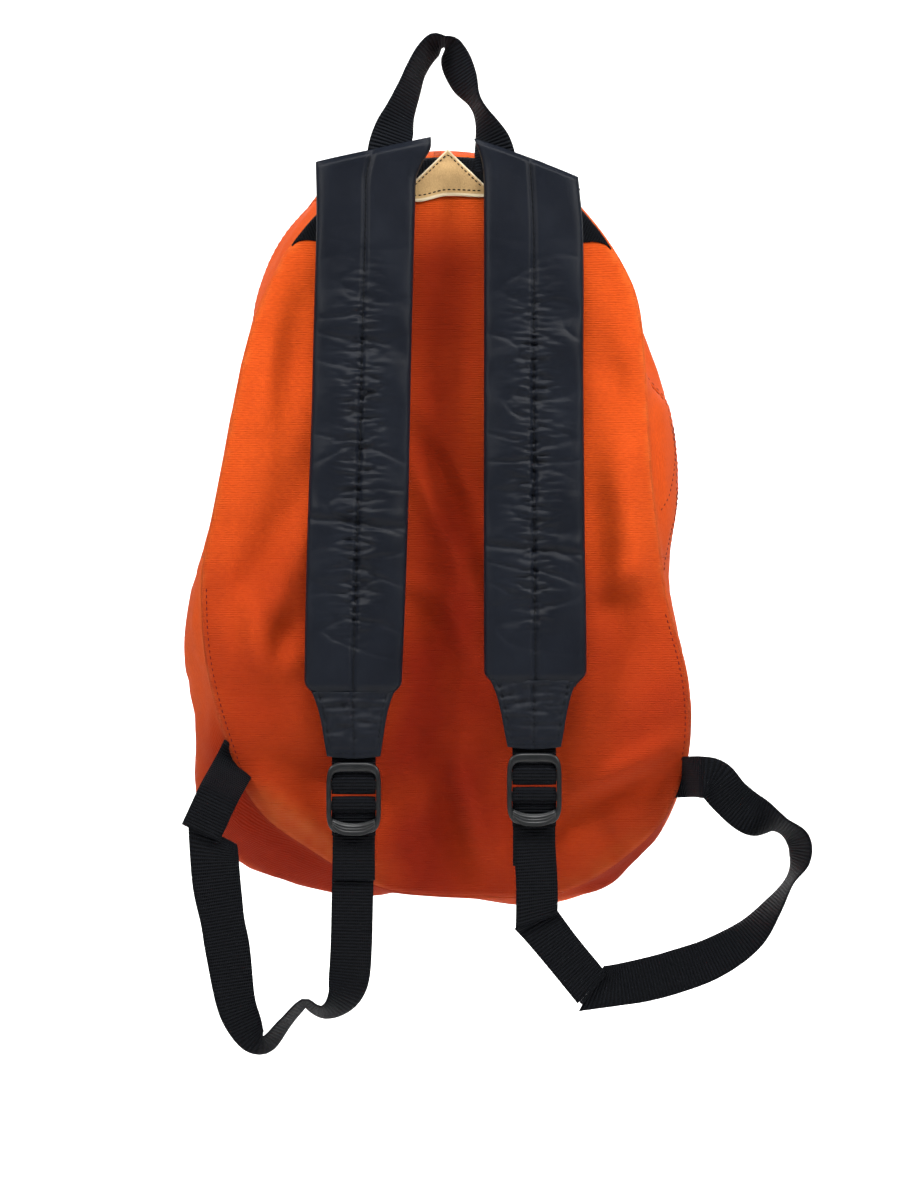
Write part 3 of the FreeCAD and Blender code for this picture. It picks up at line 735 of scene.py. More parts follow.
def make_panel(name, rim, depth, rings, wear_at=None, painted_shade_at=None):
    """A panel filled in from its rim; depth(x, z, part) gives its Y."""
    points, uvs, wear = [], [], []
    for ring in range(rings, 0, -1):
        part = (ring / rings) ** 0.8
        for step in WHOLE:
            x, z = at(step, rim[step] * part)
            points.append((x, depth(x, z, part), z))
            uvs.append((x, z))
            wear.append(wear_at(x, z, part) if wear_at else 0.0)
    points.append((CORE[0], depth(*CORE, 0.0), CORE[1]))
    uvs.append(CORE)
    wear.append(0.0)
    faces = grid_faces(rings, AROUND, True)
    hub, last = len(points) - 1, (rings - 1) * AROUND
    faces += [(last + step, last + (step + 1) % AROUND, hub) for step in range(AROUND)]
    panel = make_mesh(name, points, faces, uvs, wear, CANVAS)
    # Painted shade at each vertex, where the panel is given it.
    if painted_shade_at:
        mark_vertices(panel, "painted_shade", [painted_shade_at(x, z) for x, _, z in points])
    return panel


def back_wear(x, z, part):
    """Faded cloth on the seam and at the two lower corners, where the webbing pulls."""
    speckle = 0.5 + noise_at(x / 7, 3, z / 7)
    left = bump(part, 0.955, 0.045) * bump(x, -88, 40) * smooth(-430, -455, z)
    right = bump(part, 0.975, 0.026) * bump(x, 96, 34) * smooth(-440, -470, z)
    corner = left + 0.4 * right
    return min(1.0, 0.30 * bump(part, 1, 0.02) * speckle + corner * (0.45 + 0.55 * speckle))


def back_painted_shade(x, z):
    """Painted shade: darker canvas in the middle between the straps, where their shadow falls, and
    towards the foot, where the light falls off.
    """
    cloud = 0.14 * noise_at(x / 34, 5, z / 34)
    middle = bump(x, 4, 44) * smooth(-70, -130, z)
    foot = 0.72 * smooth(-190, -400, z)
    return min(1.0, max(0.0, 1 - (1 - 0.88 * middle) * (1 - foot) + cloud * (middle + foot)))


def front_depth(x, z, part):
    """The front panel bulges a little between its seams."""
    fill = 7.0 * (1 - part ** 3)
    slack = ripple(x, 50, z, 58, 6.0) + ripple(x, 70, z, 25, 2.6) + ripple(x, 90, z, 11, 0.7)
    return FRONT_Y + fill + slack * smooth(1, 0.85, part)


def make_shell():
    """All canvas of the main compartment."""
    back = make_panel("back_panel_cloth", BACK_RIM, back_depth, 58, back_wear, back_painted_shade)
    rear = make_gusset("rear_gusset_cloth", UPPER, None, ZIP_Y - 5, 18)
    lower = make_gusset("lower_gusset_cloth", LOWER, None, FRONT_Y, 44)
    flap = make_gusset("flap_gusset_cloth", UPPER, ZIP_Y + 5, FRONT_Y, 24)
    front = make_panel("front_panel_cloth", FRONT_RIM, front_depth, 44)
    for piece in (back, rear, lower, flap, front):
        thicken(piece, CANVAS_THICK)
    settle(back, "bag", "canvas", "back_panel")
    settle(rear, "bag", "canvas", "gusset_rear")
    settle(lower, "bag", "canvas", "gusset_side_left", "gusset_side_right", "bottom_panel")
    follow(flap, "front_flap", "canvas", "gusset_front")
    follow(front, "front_flap", "canvas", "front_panel_upper", "front_panel_lower")


# ---------------------------------------------------------------- padded shoulder straps
# Each strap as seen from the front: edges as (height, across) knots, top first.
STRAPS = {
    "left": {
        "low_edge": [(-388, -80), (-378, -81.6), (-285, -79.8), (-228, -77.7), (-168, -76.2),
                     (-100, -74.5), (-66, -75)],
        "high_edge": [(-388, -24.6), (-378, -23.4), (-285, -19.8), (-228, -18.6), (-168, -17.4),
                      (-95, -15.4), (-78, -14.6), (-68, -10.6), (-60, -6.2), (-52, -6.0)],
        "top": (-68, -53), "end": -388, "crease": -284, "seed": 3,
    },
    "right": {
        "low_edge": [(-382, 27.5), (-372, 25.8), (-90, 25.6), (-69, 24.5), (-52, 19)],
        "high_edge": [(-382, 85.5), (-372, 87), (-290, 86), (-200, 85.2), (-110, 85), (-76, 82)],
        "top": (-54, -77), "end": -382, "crease": -300, "seed": 11,
    },
}

STRAP_BACK = -2.6
STRAP_FRONT = -14.0


def crease_line(value, sharpness):
    """Turns noise into narrow creases between broad swells."""
    return max(0.0, 1 - abs(value) * sharpness) ** 2


def gathered(across, down, plan):
    """How strongly the cover is gathered: most at the centre stitch, none at the two smooth ends."""
    top, end = max(plan["top"]), plan["end"]
    ends = smooth(top - 60, top - 130, down) * smooth(end + 20, end + 70, down)
    return bump(across, 0, 11.5) * ends


def pucker(across, down, plan):
    """Wrinkles of the nylon: short ones fanning from the centre stitch, long ones across."""
    seed = plan["seed"]
    fan = down + 0.22 * abs(across) * (1 if across > 0 else -1) * noise_at(1, down / 40, seed)
    short = noise_at(across / 10, fan / 2.1, seed + 1)
    middle = crease_line(noise_at(across / 24, fan / 6.0, seed + 3), 4.0)
    long = crease_line(noise_at(across / 50 + down / 70, fan / 19, seed + 5), 5.0)
    broad = noise_at(across / 30, down / 24, seed + 8)
    tight = gathered(across, down, plan)
    loose = smooth(plan["end"] + 8, plan["end"] + 50, down) * smooth(-100, -170, down)
    return (1.9 * short * tight - 1.5 * middle * (0.06 * loose + 0.94 * tight)
            - 0.95 * (long - 0.25) * loose + 2.2 * broad * (0.3 + 0.7 * loose))


def strap_points(plan, front_steps, rows):
    """Rings of points round the strap from its top to its end, in millimetres."""
    back_steps = front_steps // 2
    turns = [(-1 + 2 * k / front_steps, True) for k in range(front_steps + 1)]
    turns += [(1 - 2 * k / back_steps, False) for k in range(1, back_steps)]
    top_low, top_high = plan["top"]
    points, pins, slack, uvs = [], [], [], []
    for row in range(rows):
        down = row / (rows - 1)
        taper = smooth(0, 0.012, down) * smooth(1, 0.975, down)
        for turn, is_front in turns:
            slant = (top_high - top_low) * (turn + 1) / 2 * (1 - down) ** 3
            z = top_low + (plan["end"] - top_low) * down + slant
            low, high = along(plan["low_edge"], z), along(plan["high_edge"], z)
            chamfer = 5.0 * smooth(0.965, 1.0, down) ** 2
            x = low + chamfer + (high - low - 2 * chamfer) * (turn + 1) / 2
            across = turn * 30
            body = (1 - abs(turn) ** 5) ** 0.55 * (0.35 + 0.65 * taper)
            groove = 1 - 0.42 * math.exp(-(across / 1.5) ** 2) - 0.14 * math.exp(-(across / 6.5) ** 2)
            mid = (STRAP_FRONT + STRAP_BACK) / 2 + 0.6
            wrinkle = pucker(across, z, plan) * (1 - abs(turn) ** 6) * taper
            crease = 1.7 * bump(z + 0.10 * across, plan["crease"], 2.2)
            crease -= 1.0 * bump(z + 0.10 * across, plan["crease"] + 6, 4.5)
            if is_front:
                y = mid - 4.7 * body * groove + (crease - 1.15 * wrinkle) * body
            else:
                y = mid + 3.9 * body * groove
            points.append((x, y, z))
            uvs.append((across if is_front else 80 - across, z))
            pins.append(abs(across) < 0.6 or abs(turn) > 0.96 or row in (0, rows - 1))
            slack.append(gathered(across, z, plan) if is_front else 0.0)
    return points, pins, slack, uvs, len(turns)


def pump(piece, pins, slack, pressure, growth, frames, cap):
    """Cloth under a light pressure whose weave is longer than its stitched line where it is gathered."""
    stitched = piece.vertex_groups.new(name="stitched")
    stitched.add([index for index, pin in enumerate(pins) if pin], 1.0, "REPLACE")
    eased = piece.vertex_groups.new(name="eased")
    for index, amount in enumerate(slack):
        eased.add([index], amount, "REPLACE")
    rest = [vertex.co.copy() for vertex in piece.data.vertices]
    cloth = piece.modifiers.new("Cloth", "CLOTH")
    for name, value in dict(
            quality=5, mass=0.12, tension_stiffness=20, compression_stiffness=20, shear_stiffness=8,
            bending_stiffness=0.02, use_pressure=True, uniform_pressure_force=pressure, shrink_min=0.0,
            shrink_max=-growth, vertex_group_shrink="eased", vertex_group_mass="stitched").items():
        setattr(cloth.settings, name, value)
    cloth.settings.effector_weights.gravity = 0
    cloth.collision_settings.use_collision = False
    cloth.collision_settings.use_self_collision = False
    cloth.point_cache.frame_start = 1
    cloth.point_cache.frame_end = frames
    scene = bpy.context.scene
    for frame_number in range(1, frames + 1):
        scene.frame_set(frame_number)
    apply_modifiers(piece)
    scene.frame_set(1)
    for vertex, start in zip(piece.data.vertices, rest):
        moved = vertex.co - start
        if moved.length > cap * MM:
            vertex.co = start + moved.normalized() * cap * MM


def make_strap(name):
    """One padded strap and the zigzag stitches down its middle."""
    plan = STRAPS[name]
    rows, front_steps = ((300, 56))
    points, pins, slack, uvs, around = strap_points(plan, front_steps, rows)
    pad = make_mesh("strap_pad_" + name, points, tube_faces(rows, around), uvs, None, NYLON)
    pump(pad, pins, slack, 1.6, 0.09, 16, 2.6)
    settle(pad, "strap_" + name, "pad_nylon", "strap_cover_" + name, "strap_foam_" + name,
           "strap_stitch_" + name)
    middle = next(index for index in range(around) if abs(uvs[index][0]) < 0.01)
    spots = resample([points[row * around + middle] for row in range(4, rows - 3)], 3.3)
    zigzag = [spot + Vector((0.55 if index % 2 else -0.55, -0.25, 0)) for index, spot in enumerate(spots)]
    beads, faces = [], []
    for here, there in zip(zigzag[:-1], zigzag[1:]):
        add_bead(beads, faces, here, there, strapwards(here), 0.36)
    thread = make_mesh("strap_thread_" + name, beads, faces, None, None, THREAD)
    settle(thread, "strap_" + name, "thread")


# ---------------------------------------------------------------- webbing
WEB_WIDTH = 25.0
WEB_THICK = 1.5


def smooth_route(route, spacing):
    """Samples of a webbing's route; a knot is (x, y, z), then a turn and a width if not 0 and 25."""
    knots = [(*knot, *(0, WEB_WIDTH)[len(knot) - 3:]) for knot in route]
    steps = [max(2, int(math.dist(here[:3], there[:3]) / spacing))
             for here, there in zip(knots[:-1], knots[1:])]
    return curve_through(knots, steps)


def strip(name, samples, side_at, columns, thick, waist, material, facing=1, lean_at=None):
    """Closed webbing along samples of (x, y, z, turn, width); also gives its length.

    side_at(tangent, turn) is its direction across, waist how much thinner its edges are, facing
    which side comes first, and lean_at(travelled) how far its edges lean along the route.
    """
    points, uvs, travelled = [], [], 0.0
    for index, (x, y, z, turn, width) in enumerate(samples):
        before, after = samples[max(index - 1, 0)], samples[min(index + 1, len(samples) - 1)]
        tangent = (Vector(after[:3]) - Vector(before[:3])).normalized()
        if index:
            travelled += math.dist(samples[index - 1][:3], (x, y, z))
        side = side_at(tangent, turn)
        normal = tangent.cross(side).normalized() * facing
        lean = lean_at(travelled) if lean_at else 0.0
        for sign in (1, -1):
            for part in across_steps(columns):
                part *= sign
                spot = Vector((x, y, z)) + side * (part * width / 2) + tangent * (part * lean)
                spot += normal * (sign * thick / 2 * (1 - waist * abs(part) ** 6))
                points.append(tuple(spot))
                uvs.append((part * width / 2 + (0 if sign > 0 else 60), travelled))
    return make_mesh(name, points, tube_faces(len(samples), 2 * columns), uvs, None, material), travelled


def tipped(tangent, turn):
    """Across a ribbon whose face is tipped away from the strap side by a turn in degrees."""
    flat = Vector((0, -1, 0)).cross(tangent)
    flat = flat.normalized() if flat.length > 0.05 else Vector((1, 0, 0))
    face = tangent.cross(flat).normalized()
    return flat * math.cos(math.radians(turn)) + face * math.sin(math.radians(turn))


def ribbon(name, route, material, thick=WEB_THICK, skew=(0, 0)):
    """Flat webbing along a route; the skew is how far its two ends lean, in millimetres."""
    samples = smooth_route(route, 1.6)
    total = sum(math.dist(a[:3], b[:3]) for a, b in zip(samples[:-1], samples[1:]))

    def lean_at(travelled):
        return skew[0] * max(0.0, 1 - travelled / 20) + skew[1] * max(0.0, 1 - (total - travelled) / 20)

    return strip(name, samples, tipped, 12, thick, 0.55, material, 1, lean_at)


# Routes, each from the side seam towards its lock.
SIDE_TAB_LEFT = [(-120, 3.0, -420), (-125, -3.2, -430), (-133, -4.4, -446), (-140, -5.6, -461),
                 (-144, -5.0, -469.5)]

LONG_LEFT = [(-136.8, -3.2, -469, 0, 28), (-136.4, -2.4, -476, 0, 29), (-134.5, -2.0, -500, -6, 29),
             (-131, -2.4, -522, 8, 27), (-127.8, -2.4, -540, 0, 27), (-123.4, -2.8, -569, 0, 24),
             (-118.5, -3.0, -583, 0, 22), (-112.5, -3.2, -593, 10, 18), (-104, -3.6, -595.5, 50, 18),
             (-94, -3.6, -584, 68, 22), (-84.5, -3.2, -573.5, 73), (-80.6, -2.8, -571.6, 72),
             (-76, -2.6, -575, 70), (-70.5, -2.8, -577, 66), (-64, -3.2, -574.5, 56),
             (-57.5, -3.2, -566, 34), (-54.6, -2.8, -552, 8), (-53.4, -2.2, -526)]

RISE_LEFT = [(-53.5, -2.2, -529), (-53.3, -2.2, -518), (-52.9, -2.3, -500), (-52.5, -3.0, -484),
             (-52.3, -3.6, -466, 0, 24)]

LONG_RIGHT = [(137, 4.0, -438), (146, -2.0, -437.4), (155.4, -5.0, -436), (164, -6.0, -438, 4),
              (173, -4.4, -448, 14), (186, -3.4, -458.5, 6), (202.4, -3.6, -464, 64),
              (213.5, -4.2, -473, 60), (214.8, -4.2, -485, 66), (209, -3.6, -498, 84),
              (198.6, -3.0, -514.2, 69), (184.5, -2.6, -531, 45), (163, -2.4, -544.5, 20),
              (140.4, -2.2, -552.8, 0, 26), (121, -2.0, -558, 0, 26), (104, -1.8, -561),
              (90, -1.7, -563)]

STRIP_RIGHT = [(90, -4.6, -562), (84, -4.7, -554.6), (72, -4.4, -540), (62, -4.0, -527.5, 0, 26),
               (56.2, -3.8, -520.6, 0, 27)]

RISE_RIGHT = [(57.2, -6.8, -522.2), (57.4, -6.4, -510), (57.2, -5.6, -496), (56.2, -4.4, -480),
              (55.8, -3.6, -462, 0, 24)]


def from_seam(route, tucked):
    """The route with its first knots moved in Y to come out of the bag's seam."""
    made = list(route)
    for index, lift in enumerate(tucked):
        x, _, z, *rest = route[index]
        step, far = polar(x, z)
        made[index] = (x, back_depth(x, z, min(1.0, far / reach(BACK_RIM, step))) + lift, z, *rest)
    return made


def make_lower_webbings():
    """The two adjusting webbings: seam to fold, the long hanging stretch, and the rise to the lock."""
    seam_tab = ribbon("side_tab_left_webbing", from_seam(SIDE_TAB_LEFT, (2.0, -1.6)), WEBBING)
    settle(seam_tab[0], "bag", "webbing", "side_tab_left")
    long_left = ribbon("lower_webbing_left_run", LONG_LEFT, WEBBING, skew=(8, 0))
    long_right = ribbon("lower_webbing_right_run", from_seam(LONG_RIGHT, (2.5, 0.5)), WEBBING,
                        skew=(0, 9.4))
    strip_right = ribbon("lower_webbing_right_strip", STRIP_RIGHT, WEBBING, skew=(-2.4, 3.3))
    left_sway = ("bag", "strap_left"), ((-114, 0, -540), (-68, 0, -540))
    right_sway = ("bag", "strap_right"), ((172, 0, -540), (76, 0, -540))
    bend(long_left[0], *left_sway, "webbing", "lower_webbing_left")
    bend(long_right[0], *right_sway, "webbing", "lower_webbing_right", "side_tab_right")
    bend(strip_right[0], *right_sway, "webbing")
    for side, route, low, lean in (("left", RISE_LEFT, -512, 0), ("right", RISE_RIGHT, -506, -4.8)):
        rise, _ = ribbon("webbing_rise_" + side, route, WEBBING, skew=(lean, 0))
        bend(rise, ("strap_" + side, "lock_" + side), ((0, 0, low), (0, 0, low + 34)), "webbing",
             "webbing_end_" + side)
    bend(fold_edge("lower_webbing_right_fold", (83, -571), (97, -553), (-1.7, -4.6)), *right_sway,
         "webbing")
    settle(fold_edge("webbing_rise_right_fold", (44.6, -526.6), (68.6, -516.0), (-3.8, -6.8)),
           "strap_right", "webbing")
    for piece, length in (seam_tab, long_left, long_right, strip_right):
        length * MM


# ---------------------------------------------------------------- ladder locks
LOCKS = {"left": (-52.2, -427.0), "right": (55.8, -421.4)}
LOCK_HALF_WIDTH = 16.4
LOCK_LENGTH = 43.0
LOCK_MID_Y = -7.0
UPPER_BAR = 14.0       # drops below the lock's top, to the middle of each bar
LOWER_BAR = 26.0


def power(value, exponent):
    """A signed power, for superellipses."""
    return math.copysign(abs(value) ** exponent, value)


def make_lock_frame(name):
    """A rounded, slightly domed frame with two bars and a crescent grip at its foot."""
    middle, top = LOCKS[name]
    centre_z = top - LOCK_LENGTH / 2
    around, section = 96, 14
    points = []
    for c, s in circle(around):
        outer = (LOCK_HALF_WIDTH * power(c, 0.42) * (1 - 0.05 * max(0, -s) ** 2),
                 LOCK_LENGTH / 2 * power(s, 0.42))
        inner = (13.4 * power(c, 0.3), -0.3 + (16.0 if s > 0 else 15.2) * power(s, 0.3))
        dome = 0.9 * (1 - (outer[1] / (LOCK_LENGTH / 2)) ** 2)
        for cosine, sine in circle(section):
            out = 0.5 + 0.5 * power(cosine, 0.62)
            x, z = (near + (far - near) * out for near, far in zip(inner, outer))
            points.append((middle + x, LOCK_MID_Y - dome - 2.3 * power(sine, 0.62), centre_z + z))
    faces = grid_faces(around, section, True)
    faces += [((around - 1) * section + k, (around - 1) * section + (k + 1) % section,
               (k + 1) % section, k) for k in range(section)]
    for drop in (UPPER_BAR, LOWER_BAR):
        start = len(points)
        for end in (-13.9, 13.9):
            for cosine, sine in circle(section):
                points.append((middle + end, LOCK_MID_Y + 1.2 * power(sine, 0.6),
                               top - drop + 2.9 * power(cosine, 0.6)))
        faces += grid_faces(2, section, True, start)
    faces += two_sided(17, 33, len(points))
    for side in (0, 1):
        for row in range(17):
            down = row / 16
            for part in across_steps(33):
                high = top - 33.6 - 3.2 * (1 - part ** 2) * 0.9
                low = top - LOCK_LENGTH - 0.8 + 5.2 * abs(part) ** 3.2
                ridge = 0.28 * math.sin(down * math.pi * 9) if 0.1 < down < 0.9 else 0
                y = LOCK_MID_Y - 1.4 - 2.4 * down * (1 - 0.3 * part ** 2) - ridge
                edge = (1 - abs(2 * down - 1) ** 6) * (1 - abs(part) ** 8)
                y += (1.5 - 0.2 * edge) if side else -0.7 * edge
                points.append((middle + 12.9 * part, y, high + (low - high) * down))
    piece = recalculate(make_mesh("ladder_lock_frame_" + name, points, faces, None, None, PLASTIC))
    settle(piece, "lock_" + name, "buckle_plastic", "ladder_lock_" + name)


def wrap_route(top, drop, before, after, reach_out, radius=1.75):
    """Webbing that comes up to a bar, goes over its front and back again, as (y, z) knots."""
    knots = [before]
    for step in range(9):
        angle = math.pi * (0.5 + step / 8)
        knots.append((LOCK_MID_Y + (radius + 0.1) * math.cos(angle) * 1.15,
                      top - drop + reach_out * math.sin(angle)))
    return knots + [after]


def lock_strip(name, lock, knots, width, *nodes):
    """Webbing whose route of (y, z) knots lies in a plane across the lock."""
    middle, _ = LOCKS[lock]
    samples = smooth_route([(middle, y, z, 0, width) for y, z in knots], 0.8)
    piece, _ = strip(name + lock, samples, lambda tangent, turn: Vector((1, 0, 0)), 13, 1.3, 0.5,
                     WEBBING, -1)
    settle(piece, "lock_" + lock, "webbing", *nodes)


def make_lock_webbing(name):
    """The sewn loop on the upper bar, the threaded webbing on the lower bar and its tail."""
    _, top = LOCKS[name]
    back, foot = LOCK_MID_Y + 3.4, top - LOCK_LENGTH
    loop = wrap_route(top, UPPER_BAR, (back - 0.3, top + 5.5), (back - 0.2, top - UPPER_BAR - 2), 4.6)
    lock_strip("lock_loop_webbing_", name, loop, 26.2, "lock_loop_" + name)
    thread = wrap_route(top, LOWER_BAR, (back + 1.2, foot - 1), (back - 0.4, foot - 1), 3.9)
    lock_strip("webbing_threaded_", name, thread, 26.2)
    end, front = (-497.5, back - 0.4) if name == "left" else (-489, back + 1.8)
    lock_strip("webbing_tail_", name, [
        (front, foot + 6), (front - 1.0, foot - 4), (front - 1.2, foot - 14), (front - 0.9, end + 2.4),
        (front - 0.2, end), (front + 0.5, end + 1.6), (front + 0.4, end + 9)], 25.4)


# ---------------------------------------------------------------- thread, suede and small cloth parts
def resample(points, pitch):
    """Points at an even pitch along a chain of points."""
    points = [Vector(point) for point in points]
    made, left = [], 0.0
    for here, there in zip(points[:-1], points[1:]):
        run = (there - here).length
        while left <= run:
            made.append(here.lerp(there, left / run))
            left += pitch
        left -= run
    return made


def strapwards(point):
    """The way that cloth on the strap side faces."""
    return Vector((0, -1, 0))


def frontwards(point):
    """The way that cloth on the front faces."""
    return Vector((0, 1, 0))


def add_tube(points, faces, stations, run, out, around=6, flat=0.8):
    """Append a capped tube through stations of (centre, radius), flattened along out."""
    side = run.cross(out).normalized()
    up = side.cross(run).normalized()
    start = len(points)
    for centre, radius in stations:
        for cosine, sine in circle(around):
            points.append(tuple(centre + side * (radius * cosine) + up * (radius * flat * sine)))
    faces += tube_faces(len(stations), around, start)


def add_bead(points, faces, start, end, out, radius):
    """Append one rounded bead between two points."""
    stations = [(start.lerp(end, u), radius * (1 - 0.45 * (2 * u - 1) ** 4))
                for u in (0, 1 / 3, 2 / 3, 1)]
    add_tube(points, faces, stations, (end - start).normalized(), out)


def sew(name, lines, material, stitch=3.2, gap=1.1, radius=0.32, sink=0.25, out_at=strapwards):
    """Rows of separate stitches that dip into the cloth at both ends, as one piece."""
    points, faces = [], []
    for line in lines:
        spots = resample(line, stitch + gap)
        for here, there in zip(spots[:-1], spots[1:]):
            run = there - here
            if run.length < 0.1:
                continue
            run = run.normalized()
            side = run.cross(out_at(here)).normalized()
            up = side.cross(run).normalized()
            stations = []
            for u in (0, 0.25, 0.5, 0.75, 1):
                dip = (2 * u - 1) ** 2
                centre = here + run * (stitch * u) + up * (-sink * dip * 2.2 + 0.05)
                stations.append((centre, radius * (1 - 0.55 * dip ** 3)))
            add_tube(points, faces, stations, run, up)
    return make_mesh(name, points, faces, None, None, material)


def two_sided(rows, columns, start=0):
    """Faces of a closed form made of a front grid, a back grid and the rim between them."""
    size = rows * columns
    rim = (list(range(columns)) + [r * columns + columns - 1 for r in range(1, rows)]
           + [size - 1 - c for c in range(1, columns)] + [r * columns for r in range(rows - 2, 0, -1)])
    faces = [tuple(reversed(face)) for face in grid_faces(rows, columns, False, start)]
    faces += grid_faces(rows, columns, False, start + size)
    return faces + [(start + a, start + b, start + size + b, start + size + a)
                    for a, b in zip(rim, rim[1:] + rim[:1])]


def make_closed(name, rows, columns, front, back, uv, material, wear=None):
    """A closed form from two functions of (down, across): down 0..1, across -1..1."""
    cells = [(r / (rows - 1), across) for r in range(rows) for across in across_steps(columns)]
    points = [face(*cell) for face in (front, back) for cell in cells]
    tones = [wear(*cell) for cell in cells] * 2 if wear else None
    uvs = [uv(*cell) for cell in cells] * 2
    return recalculate(make_mesh(name, points, two_sided(rows, columns), uvs, tones, material))


TAB_TOPS = {"left": (-52.6, -385.0, 24.8), "right": (55.4, -378.0, 26.0)}


def make_strap_tab(name):
    """The flat tapered end of a strap, with a turned edge, stitching and gathered wrinkles."""
    middle, lock_top = LOCKS[name]
    top_x, top_z, top_half = TAB_TOPS[name]
    foot_z, foot_half = lock_top + 3.6, 16.0
    seed = 31.0 if name == "left" else 47.0

    def place(down, across):
        hollow = 1.6 * math.sin(math.pi * down) * (1 - down)
        half = top_half + (foot_half - top_half) * down ** 0.85 - hollow
        sag = 1.6 * (1 - across ** 2) * smooth(0.9, 1.0, down)
        return (top_x + (middle - top_x) * down + half * across,
                top_z + (foot_z - top_z) * down - sag)

    def relief(down, across):
        x, z = place(down, across)
        edge = min(1.0, (1 - abs(across)) / 0.14, (1 - down) / 0.08)
        piping = 1 - 0.55 * bump(min(1 - abs(across), (1 - down) * 1.6), 0.15, 0.05)
        stitch = 1 - 0.75 * bump(x - (top_x + (middle - top_x) * down), 0, 1.5)
        fan = noise_at(across * 5.2, down * 1.5, seed)
        cross = noise_at(x / 13, z / 3.6, seed + 4)
        swell = 2.0 * (1 - 0.5 * down) * (0.25 + 0.75 * edge ** 0.5) * piping * stitch
        return swell + (1.3 * fan * smooth(0.9, 0.1, down) + 1.9 * cross * smooth(1.0, 0.4, down)) * edge

    def front(down, across):
        x, z = place(down, across)
        return x, -8.4 - relief(down, across) + 1.2 * down, z

    def back(down, across):
        x, z = place(down, across)
        return x, -6.6 + 0.8 * (1 - across ** 6) * (1 - down) + 1.2 * down, z

    tab = make_closed("strap_tab_cloth_" + name, 60, 61, front, back,
                      lambda down, across: (across * 22, -60 * down), NYLON)
    settle(tab, "strap_" + name, "pad_nylon", "strap_tab_" + name)
    lines = []
    for side in (-0.86, 0.86):
        lines.append([front(0.08 + 0.86 * k / 30, side) for k in range(31)])
    lines.append([front(0.94, -0.86 + 1.72 * k / 20) for k in range(21)])
    lines.append([front(0.08 + 0.86 * k / 30, 0.03 * math.sin(k * 2.2)) for k in range(31)])
    lifted = [[(x, y - 0.15, z) for x, y, z in line] for line in lines]
    thread = sew("strap_tab_thread_" + name, lifted, THREAD, 2.4, 0.9, 0.28)
    settle(thread, "strap_" + name, "thread")


# ---------------------------------------------------------------- haul handle, yoke and patch
HANDLE_ROUTE = [(-32.4, -3.0, -72), (-31.4, -2.6, -60, 4), (-28.2, -2.2, -49, 20),
                (-24.6, -1.6, -38, 46), (-19.2, -1.2, -24, 58), (-15.0, -1.0, -12.5, 64),
                (-9.6, -0.8, -3.0, 64), (-3.5, -0.6, 3.4, 66), (2.2, -0.4, 5.0, 84),
                (5.8, -0.6, 1.2, 62), (9.2, -0.8, -8.0, 46), (14.2, -1.2, -19.5, 52),
                (19.8, -1.4, -30.0, 74), (24.0, -1.6, -38.5, 72), (27.9, -2.0, -48, 53),
                (31.2, -2.6, -58.5, 26), (33.4, -3.0, -72)]


def make_handle():
    """One loop of webbing that turns on edge over the hook and twists in its right leg."""
    loop, length = ribbon("haul_handle_webbing", HANDLE_ROUTE, HANDLE_WEBBING, 1.8)
    bend(loop, ("bag", "handle"), ((0, 0, -62), (0, 0, -44)), "webbing", "haul_handle")
    length * MM


YOKE_TIPS = (-25.5, 28.8)       # degrees from the core's upright, where the yoke runs out
YOKE_FULL = (-17.5, 20.5)       # and between these it has its whole width
YOKE_DROP = 22.5


def make_yoke():
    """Webbing across the top of the back panel that follows the seam and runs out at both ends."""
    columns, rows = 121, 10
    grid = []
    for row in range(rows):
        for column in range(columns):
            turn = YOKE_TIPS[0] + (YOKE_TIPS[1] - YOKE_TIPS[0]) * column / (columns - 1)
            rim = reach(BACK_RIM, turn)
            ends = smooth(YOKE_TIPS[0], YOKE_FULL[0], turn) * smooth(YOKE_TIPS[1], YOKE_FULL[1], turn)
            drop = 0.6 + (0.8 + YOKE_DROP * ends) * row / (rows - 1)
            x, z = at(turn, rim - drop)
            y = back_depth(x, z, (rim - drop) / rim) - 1.0
            grid.append(((x, y, z), (turn * 4.3, drop)))
    piece = make_mesh("yoke_webbing", [spot for spot, _ in grid], grid_faces(rows, columns),
                      [(v, u) for _, (u, v) in grid], None, WEBBING)
    thicken(piece, 1.0)
    settle(piece, "bag", "webbing", "yoke_band")


PATCH_MIDDLE = 4.0
PATCH_HALF = 24.0


